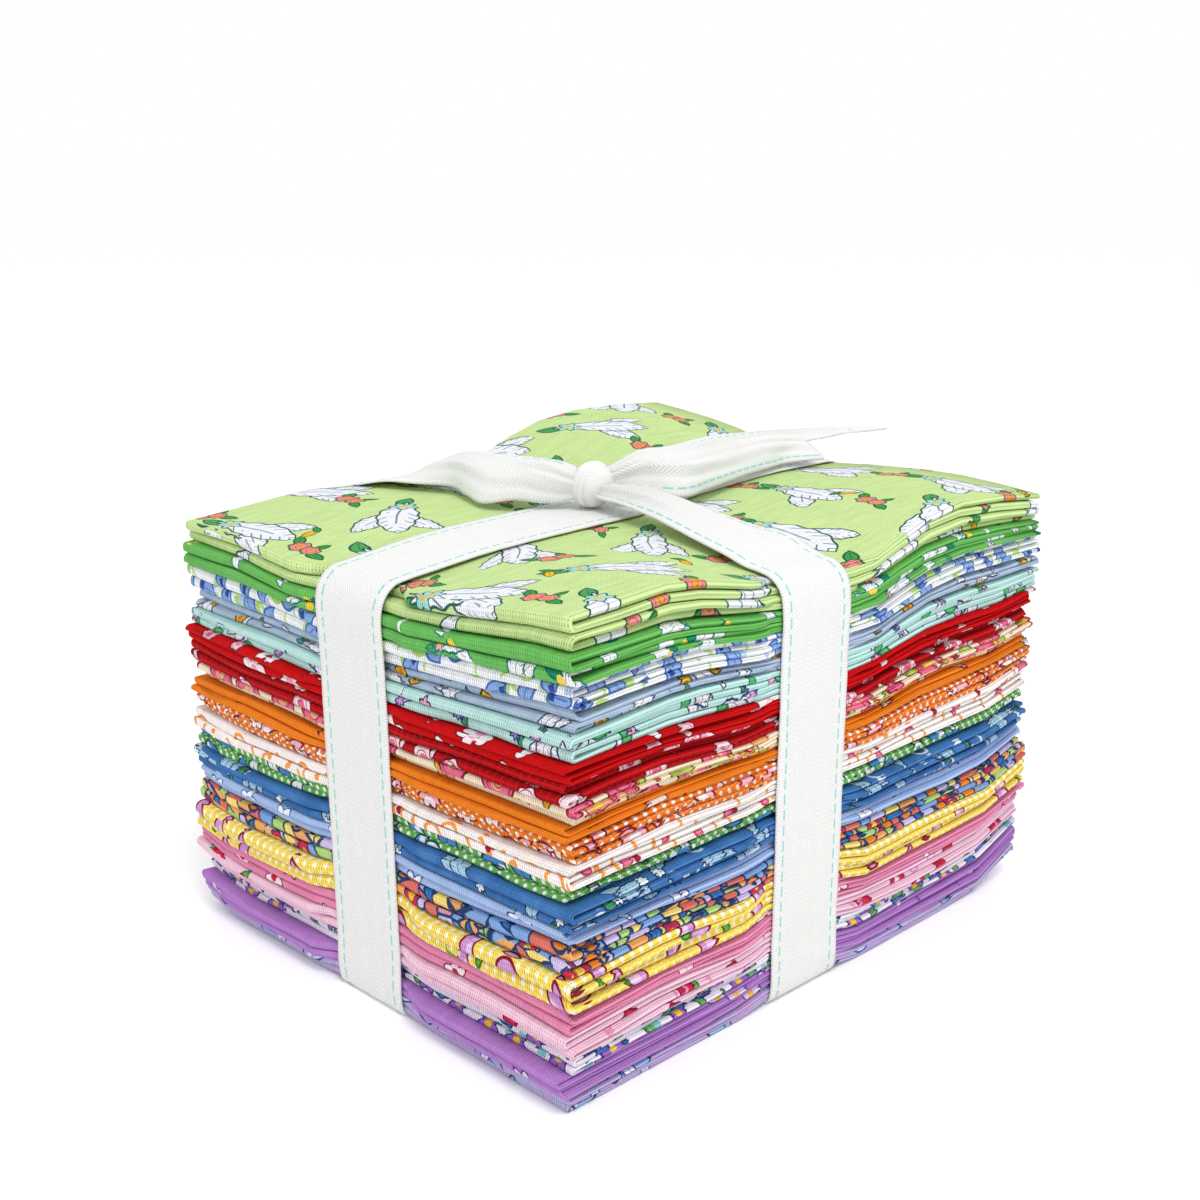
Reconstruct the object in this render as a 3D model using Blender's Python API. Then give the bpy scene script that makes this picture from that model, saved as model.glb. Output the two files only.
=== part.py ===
"""Fat quarter bundle: folded cotton fat quarters stacked in a block and tied both ways with tape.

Metres, +Z up. The origin is at the centre of the base. X runs along the closed-fold face's width,
Y along the bundle's length, and the folds that close at -Y show as the smooth edges of that face.
Each fat quarter is a zigzag of four panels, which is how its section reads from the side; the tape is one
band the long way round, one band the cross way round that ends in a knot, and one free end.
"""

import math
from collections import namedtuple

import bmesh
import bpy

MM = 0.001

# Driving dimensions, in millimetres: the cut of a fat quarter, and how often it is folded each way.
CUT_SHORT = 457.2
CUT_LONG = 558.8
FOLDS_EACH_WAY = 4
WIDTH = CUT_SHORT / FOLDS_EACH_WAY
DEPTH = CUT_LONG / FOLDS_EACH_WAY
HEIGHT = 86.0
PANELS = 4
PIECE_GAP = 0.3
PANEL_GAP = 0.3

TAPE_WIDTH = 20.0
TAPE = 1.0
TAPE_CENTRE_Y = -7.0
TAPE_PATH_CLEAR = 0.3
SIDE_X = WIDTH / 2 + 1.2
SIDE_Y = DEPTH / 2 + 0.6
TOP_CLEAR = 0.6
CLEAR_OF_FOLDS = 1.2

KNOT_CENTRE = (-0.5, -6.5, 94.0)
KNOT_HALF = (4.3, 4.7, 4.6)
KNOT_RINGS = 8
KNOT_SIDES = 14

# Where the surfaces between the fabrics bend: across the width, and along the length.
STATIONS_X = (-WIDTH / 2, -12.5, 12.5, WIDTH / 2)
STATIONS_Y = (-DEPTH / 2, -19.5, 5.5, 32.0, DEPTH / 2)
# Height of the stack's top over those stations, a row for each Y station: the tape draws the edges in,
# the four quarters dome between its arms, and the back left quarter stands highest.
TopRow = namedtuple("TopRow", "left tape_left tape_right right")
TOP = (
    TopRow(86.0, 81.2, 81.4, 86.0),
    TopRow(91.0, 87.5, 87.2, 83.0),
    TopRow(92.0, 88.0, 87.6, 80.2),
    TopRow(100.0, 90.5, 89.8, 89.5),
    TopRow(99.8, 90.6, 90.2, 86.4),
)
# How far the tape under the base lifts the folds above it, a row for each Y station.
LiftRow = namedtuple("LiftRow", "left tape_left tape_right right")
LIFT = (
    LiftRow(0.0, 1.0, 1.0, 0.0),
    LiftRow(1.3, 2.0, 2.0, 1.3),
    LiftRow(1.3, 2.0, 2.0, 1.3),
    LiftRow(0.0, 1.0, 1.0, 0.0),
    LiftRow(0.0, 1.0, 1.0, 0.0),
)
# Recesses in the base for the two runs of tape, which cross there.
LONG_RECESS = 1.3
CROSS_RECESS = 2.6
BASE_STATIONS_X = (-WIDTH / 2, -12.5, -11.0, 11.0, 12.5, WIDTH / 2)
BASE_STATIONS_Y = (-DEPTH / 2, -19.5, -18.2, 4.2, 5.5, 32.0, DEPTH / 2)

# The fat quarters from the top down. front, left and right give the height of the underside at those three
# vertical edges of the stack. The out columns give how far the packet stands out of the nominal block.
Fabric = namedtuple("Fabric", "name colour front left right out_left out_front out_right out_back")
FABRICS = (
    Fabric("01_light_green", (0.51, 0.73, 0.26), 81.8, 82.6, 83.0, 0.2, 0.6, 0.8, 0.4),
    Fabric("02_mid_green", (0.17, 0.51, 0.13), 76.5, 77.7, 80.0, 0.8, 1.2, 2.2, -0.4),
    Fabric("03_blue_bell", (0.66, 0.76, 0.78), 71.6, 71.4, 75.6, 1.9, 0.2, 1.6, 0.9),
    Fabric("04_grey_blue", (0.51, 0.61, 0.75), 68.4, 68.0, 71.6, 0.6, -0.6, 0.4, 0.2),
    Fabric("05_aqua", (0.49, 0.75, 0.72), 63.2, 64.4, 66.8, 1.4, 1.0, 1.2, 1.2),
    Fabric("06_red", (0.58, 0.01, 0.01), 59.4, 60.0, 63.2, 2.0, 1.4, 1.0, 0.3),
    Fabric("07_red_grid", (0.52, 0.02, 0.02), 55.3, 55.4, 59.6, 1.5, 0.5, 0.2, -0.5),
    Fabric("08_cream_rose", (0.84, 0.55, 0.38), 52.1, 51.8, 56.2, 0.7, -0.4, 0.6, 1.0),
    Fabric("09_orange", (0.87, 0.2, 0.02), 48.9, 48.2, 52.8, 1.7, 0.7, -0.2, 0.6),
    Fabric("10_orange_dot", (0.8, 0.26, 0.1), 45.6, 44.6, 49.2, 1.3, 0.0, 0.5, 1.5),
    Fabric("11_white_orange", (0.83, 0.66, 0.55), 41.2, 40.4, 43.6, 2.1, 0.9, 0.3, 0.2),
    Fabric("12_green_dot", (0.2, 0.49, 0.17), 38.0, 36.4, 39.4, 2.2, -0.9, -1.0, 0.8),
    Fabric("13_denim_blue", (0.06, 0.19, 0.45), 33.6, 32.2, 34.4, 1.2, 1.1, 1.1, -0.2),
    Fabric("14_periwinkle", (0.38, 0.51, 0.84), 30.2, 28.4, 29.8, 1.6, 0.1, -0.3, 0.7),
    Fabric("15_patchwork", (0.36, 0.42, 0.36), 25.8, 23.8, 25.2, 0.9, 0.6, 0.7, 1.1),
    Fabric("16_yellow_dot", (0.92, 0.68, 0.1), 19.2, 17.4, 19.6, 1.5, 1.5, 1.3, 0.4),
    Fabric("17_pink", (0.83, 0.26, 0.45), 15.2, 13.8, 15.2, 1.8, 0.4, 0.1, 0.9),
    Fabric("18_pale_pink", (0.89, 0.6, 0.74), 10.0, 10.2, 11.2, 2.0, 1.2, 0.9, -0.3),
    Fabric("19_violet_white", (0.55, 0.45, 0.68), 6.8, 6.8, 7.6, 1.0, -0.2, -0.4, 0.5),
    Fabric("20_purple", (0.48, 0.24, 0.6), 3.5, 3.5, 3.6, 0.3, 1.6, 0.6, 1.6),
    Fabric("21_lavender", (0.54, 0.36, 0.64), 0.0, 0.0, 0.0, 0.6, 0.8, 0.4, 0.1),
)
TAPE_COLOUR = (0.87, 0.87, 0.85)

# The cross band, from the knot's +X side round under the base to its -X side. lift is the height above the
# top surface, or None where z is a plain height; half is half the band's width there.
Cross = namedtuple("Cross", "x y z lift half thick")
CROSS_ARM_RIGHT = (
    Cross(4.2, -6.8, 94.2, None, 3.2, 2.6),
    Cross(9.0, -7.0, 93.2, None, 4.6, 2.0),
    Cross(16.0, -7.2, 90.4, None, 7.0, 1.4),
    Cross(25.0, -7.4, None, 1.6, 9.2, 1.0),
    Cross(38.0, -7.5, None, 0.9, 10.0, 1.0),
    Cross(SIDE_X, -7.5, None, TOP_CLEAR, 10.0, 1.0),
)
CROSS_ARM_LEFT = (
    Cross(-SIDE_X, -20.5, None, CLEAR_OF_FOLDS, 10.0, 1.0),
    Cross(-44.0, -18.5, None, 1.6, 10.0, 1.0),
    Cross(-30.0, -15.5, None, 3.6, 9.6, 1.0),
    Cross(-18.0, -12.0, None, 4.4, 8.6, 1.2),
    Cross(-10.0, -9.0, 94.0, None, 5.6, 2.0),
    Cross(-5.2, -7.2, 94.2, None, 3.4, 2.6),
)

# The free end: its near edge and its far edge, from the knot back over the top, and how far the strip bows
# out between them towards +X.
Tail = namedtuple("Tail", "y near_x near_z far_x far_z bow")
TAIL = (
    Tail(-1.4, 2.6, 93.2, -1.2, 96.2, 1.2),
    Tail(5.0, 6.8, 93.2, 0.6, 97.6, 3.2),
    Tail(18.0, 8.4, 93.6, 3.2, 99.6, 4.6),
    Tail(36.0, 3.2, 93.4, 7.2, 101.0, 4.4),
    Tail(52.0, 2.4, 93.4, 13.5, 101.0, 2.6),
    Tail(66.0, 2.8, 93.2, 19.4, 100.6, 1.4),
)
TAIL_ACROSS = 5
NOTCH_DEPTH = 13.0


def interpolate(stations, values, at):
    """Value at one place on a line of stations, held constant past its ends."""
    if at <= stations[0]:
        return values[0]
    for low, high, first, second in zip(stations, stations[1:], values, values[1:]):
        if at <= high:
            return first + (second - first) * (at - low) / (high - low)
    return values[-1]


def on_grid(rows, x, y):
    """Value of a table of rows over STATIONS_X and STATIONS_Y."""
    along = [interpolate(STATIONS_X, row, x) for row in rows]
    return interpolate(STATIONS_Y, along, y)


def share(level, x, y):
    """Part of the stack's height below boundary `level`, counted from 0 at the base."""
    if level == 0:
        return 0.0
    if level == len(FABRICS):
        return 1.0
    above = FABRICS[len(FABRICS) - 1 - level]
    back = (above.left + above.right) / 2
    u = interpolate((-WIDTH / 2, WIDTH / 2), (0.0, 1.0), x)
    v = interpolate((-DEPTH / 2, DEPTH / 2), (0.0, 1.0), y)
    near = above.left + (above.front - above.left) * u
    far = back + (above.right - back) * u
    return (near + (far - near) * v) / HEIGHT


def coarse_boundary(level, x, y):
    """Height of a boundary at a station of the stack."""
    part = share(level, x, y)
    return part * on_grid(TOP, x, y) + (1.0 - part) * on_grid(LIFT, x, y)


def boundary(level, x, y):
    """Height of a boundary anywhere: straight between the stations, so that neighbours match."""
    rows = [[coarse_boundary(level, sx, sy) for sx in STATIONS_X] for sy in STATIONS_Y]
    return on_grid(rows, x, y)


def base_height(x, y):
    """Underside of the stack: flat on the floor, with the two tape recesses."""
    cross = CROSS_RECESS if BASE_STATIONS_Y[2] <= y <= BASE_STATIONS_Y[3] else 0.0
    long = LONG_RECESS if BASE_STATIONS_X[2] <= x <= BASE_STATIONS_X[3] else 0.0
    return max(cross, long)


def stand_out(amount, at, tape_from, tape_to, end):
    """How far a packet stands out at one place of an edge: the tape holds it in between tape_from and tape_to."""
    held = min(amount, TAPE_PATH_CLEAR)
    return interpolate((-end, tape_from, tape_to, end), (amount, held, held, amount), at)


class Packet:
    """One folded fat quarter: a zigzag section, swept across the width."""

    def __init__(self, index):
        self.fabric = FABRICS[index]
        self.level = len(FABRICS) - 1 - index
        self.is_base = self.level == 0
        self.stations_x = BASE_STATIONS_X if self.is_base else STATIONS_X
        self.stations_y = BASE_STATIONS_Y if self.is_base else STATIONS_Y

    def slot(self, x, y):
        """Lower and upper height that the packet may fill at (x, y)."""
        low = base_height(x, y) if self.is_base else boundary(self.level, x, y) + PIECE_GAP / 2
        return low, boundary(self.level + 1, x, y) - PIECE_GAP / 2

    def panel(self, index, x, y):
        """Lower and upper height of one panel, 0 at the bottom."""
        low, high = self.slot(x, y)
        gap = min(PANEL_GAP, 0.35 * (high - low) / PANELS)
        pitch = (high - low + gap) / PANELS
        return low + index * pitch, low + (index + 1) * pitch - gap

    def x_at(self, station, y):
        """X of a station, moved out at the two ends of the width."""
        f = self.fabric
        if station == 0:
            return self.stations_x[0] - stand_out(f.out_left, y, STATIONS_Y[1], STATIONS_Y[2], DEPTH / 2)
        if station == len(self.stations_x) - 1:
            return self.stations_x[-1] + stand_out(f.out_right, y, STATIONS_Y[1], STATIONS_Y[2], DEPTH / 2)
        return self.stations_x[station]

    def y_ends(self, x):
        """The packet's -Y and +Y extent at one X."""
        f = self.fabric
        front = stand_out(f.out_front, x, STATIONS_X[1], STATIONS_X[2], WIDTH / 2)
        back = stand_out(f.out_back, x, STATIONS_X[1], STATIONS_X[2], WIDTH / 2)
        return -DEPTH / 2 - front, DEPTH / 2 + back

    def run(self, x, panel, upper, forward):
        """Points (y, z) along one side of a panel."""
        front, back = self.y_ends(x)
        radius = self.fold_radius(x)
        ys = [front + radius, *self.stations_y[1:-1], back - radius]
        points = [(y, self.panel(panel, x, y)[1 if upper else 0]) for y in ys]
        return points if forward else points[::-1]

    def fold_radius(self, x):
        """Half the height of the outside of a closed fold."""
        low, high = self.slot(x, self.stations_y[0])
        return (high - low) / PANELS * 0.9

    def arc(self, x, lower_panel, side, downward):
        """Two points on the outside of the fold that joins a panel to the one above it."""
        front, back = self.y_ends(x)
        radius = self.fold_radius(x)
        edge = front + radius if side < 0 else back - radius
        low = self.panel(lower_panel, x, edge)[0]
        high = self.panel(lower_panel + 1, x, edge)[1]
        middle, half = (low + high) / 2, (high - low) / 2
        turns = (math.radians(35), math.radians(-35))
        points = [(edge + side * radius * math.cos(t) / math.cos(turns[0]), middle + half * math.sin(t)) for t in turns]
        return points if downward else points[::-1]

    def section(self, x):
        """The zigzag's outline at one X, with the closed folds at -Y, +Y, -Y from the top down."""
        points = self.run(x, 3, True, False)
        points += self.arc(x, 2, -1, True)
        points += self.run(x, 2, False, True)
        points += self.run(x, 1, True, False)
        points += self.arc(x, 0, -1, True)
        points += self.run(x, 0, False, True)
        points += self.run(x, 0, True, False)
        points += self.run(x, 1, False, True)
        points += self.arc(x, 1, 1, False)
        points += self.run(x, 2, True, False)
        points += self.run(x, 3, False, True)
        return points

    def caps(self, count):
        """Index groups of the section's faces at one end: a quad between stations, and a face at each fold."""
        n = len(self.stations_y)
        top3 = list(range(n))
        arc32 = [n, n + 1]
        low2 = list(range(n + 2, 2 * n + 2))
        top1 = list(range(2 * n + 2, 3 * n + 2))
        arc10 = [3 * n + 2, 3 * n + 3]
        low0 = list(range(3 * n + 4, 4 * n + 4))
        top0 = list(range(4 * n + 4, 5 * n + 4))
        low1 = list(range(5 * n + 4, 6 * n + 4))
        arc12 = [6 * n + 4, 6 * n + 5]
        top2 = list(range(6 * n + 6, 7 * n + 6))
        low3 = list(range(7 * n + 6, 8 * n + 6))
        assert low3[-1] == count - 1
        faces = []
        for top, low in ((top3, low3), (low2[::-1], top2[::-1]), (top1, low1), (low0[::-1], top0[::-1])):
            for k in range(n - 1):
                faces.append((top[k], top[k + 1], low[::-1][k + 1], low[::-1][k]))
        faces.append((top3[-1], arc32[0], arc32[1], low2[0], top2[-1], low3[0]))
        faces.append((top1[-1], arc10[0], arc10[1], low0[0], top0[-1], low1[0]))
        faces.append((low1[-1], arc12[0], arc12[1], top2[0], low2[-1], top1[0]))
        return faces

    def build(self):
        """Makes the packet's object."""
        mesh_builder = bmesh.new()
        loops = []
        for station in range(len(self.stations_x)):
            outline = self.section(self.stations_x[station])
            loops.append([mesh_builder.verts.new((self.x_at(station, y) * MM, y * MM, z * MM)) for y, z in outline])
        for left, right in zip(loops, loops[1:]):
            bridge(mesh_builder, left, right)
        for loop, flipped in ((loops[0], True), (loops[-1], False)):
            for face in self.caps(len(loop)):
                corners = [loop[i] for i in face]
                mesh_builder.faces.new(corners[::-1] if flipped else corners)
        return finish(mesh_builder, "fabric_" + self.fabric.name, self.fabric.colour)


def bridge(mesh_builder, left, right):
    """Joins two outlines, with the diagonals all leaning one way so that neighbouring packets match."""
    count = len(left)
    for k in range(count):
        a, b, c, d = left[k], left[(k + 1) % count], right[(k + 1) % count], right[k]
        if a.co.y <= b.co.y:
            mesh_builder.faces.new((a, b, c))
            mesh_builder.faces.new((a, c, d))
        else:
            mesh_builder.faces.new((a, b, d))
            mesh_builder.faces.new((b, c, d))


def finish(mesh_builder, name, colour):
    """Turns a finished mesh into a named object with its own material."""
    bmesh.ops.recalc_face_normals(mesh_builder, faces=mesh_builder.faces)
    mesh = bpy.data.meshes.new(name)
    mesh_builder.to_mesh(mesh)
    mesh_builder.free()
    material = bpy.data.materials.new(name)
    material.use_nodes = True
    shader = material.node_tree.nodes["Principled BSDF"]
    shader.inputs["Base Color"].default_value = (*colour, 1.0)
    shader.inputs["Roughness"].default_value = 0.85
    shader.inputs["Metallic"].default_value = 0.0
    mesh.materials.append(material)
    piece = bpy.data.objects.new(name, mesh)
    bpy.context.scene.collection.objects.link(piece)
    return piece


def swept_band(name, sections, closed):
    """A strip whose sections are closed outlines of equal length, joined in order."""
    mesh_builder = bmesh.new()
    loops = [[mesh_builder.verts.new([value * MM for value in point]) for point in outline] for outline in sections]
    pairs = list(zip(loops, loops[1:]))
    if closed:
        pairs.append((loops[-1], loops[0]))
    for left, right in pairs:
        count = len(left)
        for k in range(count):
            mesh_builder.faces.new((left[k], left[(k + 1) % count], right[(k + 1) % count], right[k]))
    if not closed:
        mesh_builder.faces.new(loops[0])
        mesh_builder.faces.new(loops[-1][::-1])
    return finish(mesh_builder, name, TAPE_COLOUR)


def long_section(inner, outer):
    """Section of the long band: its inner and outer edge points at both sides of its width."""
    half = TAPE_WIDTH / 2
    (y, low_left, low_right), (outer_y, high_left, high_right) = inner, outer
    return [
        (-half, y, low_left),
        (half, y, low_right),
        (half, outer_y, high_right),
        (-half, outer_y, high_left),
    ]


def ribbon_long():
    """The band the long way round, straight across the base and draped over the top."""
    half = TAPE_WIDTH / 2
    outer_y = SIDE_Y + TAPE
    top_level = len(FABRICS)
    sections = []
    for y in (-SIDE_Y, *STATIONS_Y[1:-1], SIDE_Y):
        left, right = (boundary(top_level, x, y) + TOP_CLEAR for x in (-half, half))
        over = math.copysign(outer_y, y) if abs(y) == SIDE_Y else y
        sections.append(long_section((y, left, right), (over, left + TAPE, right + TAPE)))
    for side in (1, -1):
        sections.append(long_section((side * SIDE_Y, TAPE, TAPE), (side * outer_y, 0.0, 0.0)))
    return swept_band("ribbon_long", sections, closed=True)


def cross_section(row, outward):
    """Section of the cross band on an arm: row's centre and width, thickened outward."""
    top_level = len(FABRICS)
    y_low, y_high = row.y - row.half, row.y + row.half
    if row.lift is None:
        z_low = z_high = row.z - row.thick / 2
    else:
        z_low = boundary(top_level, row.x, y_low) + row.lift
        z_high = boundary(top_level, row.x, y_high) + row.lift
    return [
        (row.x, y_low, z_low),
        (row.x, y_high, z_high),
        (row.x + outward, y_high, z_high + row.thick),
        (row.x + outward, y_low, z_low + row.thick),
    ]


def ribbon_cross():
    """The band the cross way: down from the knot's +X side, under the base, and up to its -X side."""
    sections = [cross_section(row, TAPE if row.x == SIDE_X else 0.0) for row in CROSS_ARM_RIGHT]
    low = TAPE_CENTRE_Y - TAPE_WIDTH / 2
    high = TAPE_CENTRE_Y + TAPE_WIDTH / 2
    inner_z = LONG_RECESS + TAPE
    for side in (1, -1):
        x = side * SIDE_X
        sections.append([
            (x, low, inner_z),
            (x, high, inner_z),
            (x + side * TAPE, high, LONG_RECESS),
            (x + side * TAPE, low, LONG_RECESS),
        ])
    sections += [cross_section(row, -TAPE if row.x == -SIDE_X else 0.0) for row in CROSS_ARM_LEFT]
    return swept_band("ribbon_cross", sections, closed=False)


def ribbon_knot():
    """The knot: a rounded lump with the two dents that its wrap of tape leaves."""
    mesh_builder = bmesh.new()
    rings = []
    for ring in range(1, KNOT_RINGS):
        polar = math.pi * ring / KNOT_RINGS
        points = []
        for side in range(KNOT_SIDES):
            turn = 2 * math.pi * side / KNOT_SIDES
            swell = 1.0 - 0.10 * math.cos(2 * turn) ** 2 * math.sin(polar)
            offsets = (math.sin(polar) * math.cos(turn), math.sin(polar) * math.sin(turn), math.cos(polar))
            points.append([c + h * swell * o for c, h, o in zip(KNOT_CENTRE, KNOT_HALF, offsets)])
        rings.append([mesh_builder.verts.new([value * MM for value in point]) for point in points])
    poles = []
    for sign in (1, -1):
        pole = (KNOT_CENTRE[0], KNOT_CENTRE[1], KNOT_CENTRE[2] + sign * KNOT_HALF[2])
        poles.append(mesh_builder.verts.new([value * MM for value in pole]))
    for upper, lower in zip(rings, rings[1:]):
        for k in range(KNOT_SIDES):
            n = (k + 1) % KNOT_SIDES
            mesh_builder.faces.new((upper[k], upper[n], lower[n], lower[k]))
    for ring, pole in ((rings[0], poles[0]), (rings[-1], poles[1])):
        for k in range(KNOT_SIDES):
            mesh_builder.faces.new((pole, ring[k], ring[(k + 1) % KNOT_SIDES]))
    return finish(mesh_builder, "ribbon_knot", TAPE_COLOUR)


def tail_line(row, last):
    """Points across the free end, from its near edge to its far edge, and the outward direction."""
    dx, dz = row.far_x - row.near_x, row.far_z - row.near_z
    length = math.hypot(dx, dz)
    outward = (dz / length, -dx / length)
    points = []
    for k in range(TAIL_ACROSS):
        t = k / (TAIL_ACROSS - 1)
        bow = row.bow * 4 * t * (1 - t)
        notch = NOTCH_DEPTH * (1 - abs(2 * t - 1)) if last else 0.0
        points.append((row.near_x + dx * t + outward[0] * bow, row.y - notch, row.near_z + dz * t + outward[1] * bow))
    return points, outward


def ribbon_tail():
    """The free end: a bowed strip that turns from lying on its side to facing up, cut to a V."""
    sections = []
    for row in TAIL:
        points, outward = tail_line(row, row is TAIL[-1])
        shift = [TAPE / 2 * outward[0], 0.0, TAPE / 2 * outward[1]]
        front = [[p + s for p, s in zip(point, shift)] for point in points]
        back = [[p - s for p, s in zip(point, shift)] for point in points]
        sections.append(front + back[::-1])
    mesh_builder = bmesh.new()
    loops = [[mesh_builder.verts.new([value * MM for value in point]) for point in outline] for outline in sections]
    for left, right in zip(loops, loops[1:]):
        count = len(left)
        for k in range(count):
            mesh_builder.faces.new((left[k], left[(k + 1) % count], right[(k + 1) % count], right[k]))
    for loop in (loops[0], loops[-1]):
        for k in range(TAIL_ACROSS - 1):
            mesh_builder.faces.new((loop[k], loop[k + 1], loop[-2 - k], loop[-1 - k]))
    return finish(mesh_builder, "ribbon_tail", TAPE_COLOUR)


def main():
    for old in list(bpy.data.objects):
        bpy.data.objects.remove(old, do_unlink=True)
    bundle = bpy.data.objects.new("bundle", None)
    bpy.context.scene.collection.objects.link(bundle)
    pieces = [Packet(index).build() for index in range(len(FABRICS))]
    pieces += [ribbon_long(), ribbon_cross(), ribbon_knot(), ribbon_tail()]
    for piece in pieces:
        piece.parent = bundle


main()
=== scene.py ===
"""Looks of the fat quarter bundle: folded printed cottons, the tape that ties them, and the studio.

Lengths in the tables are millimetres in the part's own frame, with the origin at the centre of the base, +X
towards the side that shows the folded edges' ends and -Y towards the side that shows the closed folds.
"""

import logging
import math
from dataclasses import dataclass
from enum import Enum
from typing import Callable, Optional, Sequence, Union

import bpy
import numpy as np
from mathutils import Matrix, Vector


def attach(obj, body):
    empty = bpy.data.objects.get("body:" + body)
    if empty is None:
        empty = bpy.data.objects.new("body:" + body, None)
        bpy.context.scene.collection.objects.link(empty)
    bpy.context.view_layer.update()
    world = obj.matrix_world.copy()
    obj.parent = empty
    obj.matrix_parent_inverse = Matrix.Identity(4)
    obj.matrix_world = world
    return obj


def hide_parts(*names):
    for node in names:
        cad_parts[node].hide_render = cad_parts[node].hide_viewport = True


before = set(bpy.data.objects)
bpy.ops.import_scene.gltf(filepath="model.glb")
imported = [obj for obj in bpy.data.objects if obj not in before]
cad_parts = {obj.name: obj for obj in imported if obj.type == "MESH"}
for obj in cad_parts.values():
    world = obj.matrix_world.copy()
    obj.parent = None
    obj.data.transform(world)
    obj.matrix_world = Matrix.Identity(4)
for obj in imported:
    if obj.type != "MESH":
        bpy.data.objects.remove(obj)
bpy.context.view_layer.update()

LOG = logging.getLogger("fat_quarter_bundle")
MM = 0.001
# Folded size of a fabric in mm, and how many layers across and panels along make it.
WIDTH, DEPTH = 114.3, 139.7
LAYERS, PANELS = 4, 4
# Half of the tape's width in mm, and where its middles lie over the stack and under it.
TAPE_HALF = 10.0
LONG_CENTRE, CROSS_CENTRE = 0.0, -7.0
BASE_LONG, BASE_CROSS = 1.5, -7.3
CAMERA_SENSOR = 36.0
TURN = 2 * math.pi
BLACK = (0.0, 0.0, 0.0, 1.0)

Array = np.ndarray


# ---------------------------------------------------------------- shader graph


class Sock:
    """One output of a shader node; arithmetic on it adds Math nodes to its graph."""

    def __init__(self, graph: "Graph", socket: bpy.types.NodeSocket) -> None:
        """Holds the output and the graph that it is in."""
        self.graph, self.socket = graph, socket

    def _do(self, operation: str, *others: "Value") -> "Sock":
        """A Math node of this value and the others."""
        return self.graph.math(operation, self, *others)

    def __add__(self, other: "Value") -> "Sock":
        """Sum."""
        return self._do("ADD", other)

    def __radd__(self, other: "Value") -> "Sock":
        """Sum, from a number on the left."""
        return self._do("ADD", other)

    def __sub__(self, other: "Value") -> "Sock":
        """Difference."""
        return self._do("SUBTRACT", other)

    def __rsub__(self, other: "Value") -> "Sock":
        """Difference, from a number on the left."""
        return self.graph.math("SUBTRACT", other, self)

    def __mul__(self, other: "Value") -> "Sock":
        """Product."""
        return self._do("MULTIPLY", other)

    def __rmul__(self, other: "Value") -> "Sock":
        """Product, from a number on the left."""
        return self._do("MULTIPLY", other)

    def __truediv__(self, other: "Value") -> "Sock":
        """Quotient."""
        return self._do("DIVIDE", other)

    def __rtruediv__(self, other: "Value") -> "Sock":
        """Quotient, from a number on the left."""
        return self.graph.math("DIVIDE", other, self)

    def __neg__(self) -> "Sock":
        """Negative."""
        return self._do("MULTIPLY", -1.0)

    def __abs__(self) -> "Sock":
        """Value without its sign."""
        return self._do("ABSOLUTE")

    def sin(self) -> "Sock":
        """Sine."""
        return self._do("SINE")

    def cos(self) -> "Sock":
        """Cosine."""
        return self._do("COSINE")

    def floor(self) -> "Sock":
        """Whole number below."""
        return self._do("FLOOR")

    def fract(self) -> "Sock":
        """Part past the whole number below."""
        return self._do("FRACT")

    def sqrt(self) -> "Sock":
        """Square root."""
        return self._do("SQRT")

    def low(self, other: "Value") -> "Sock":
        """Smaller of the two."""
        return self._do("MINIMUM", other)

    def high(self, other: "Value") -> "Sock":
        """Larger of the two."""
        return self._do("MAXIMUM", other)

    def angle(self, other: "Value") -> "Sock":
        """Angle whose sine follows this value and whose cosine follows the other."""
        return self._do("ARCTAN2", other)

    def inside(self, soft: float) -> "Sock":
        """1 where the value is below zero, 0 above, with an edge `soft` wide."""
        return (0.5 - self / soft).high(0.0).low(1.0)


Value = Union[Sock, float]
Colour = Union[Sock, Sequence[float]]


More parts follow.
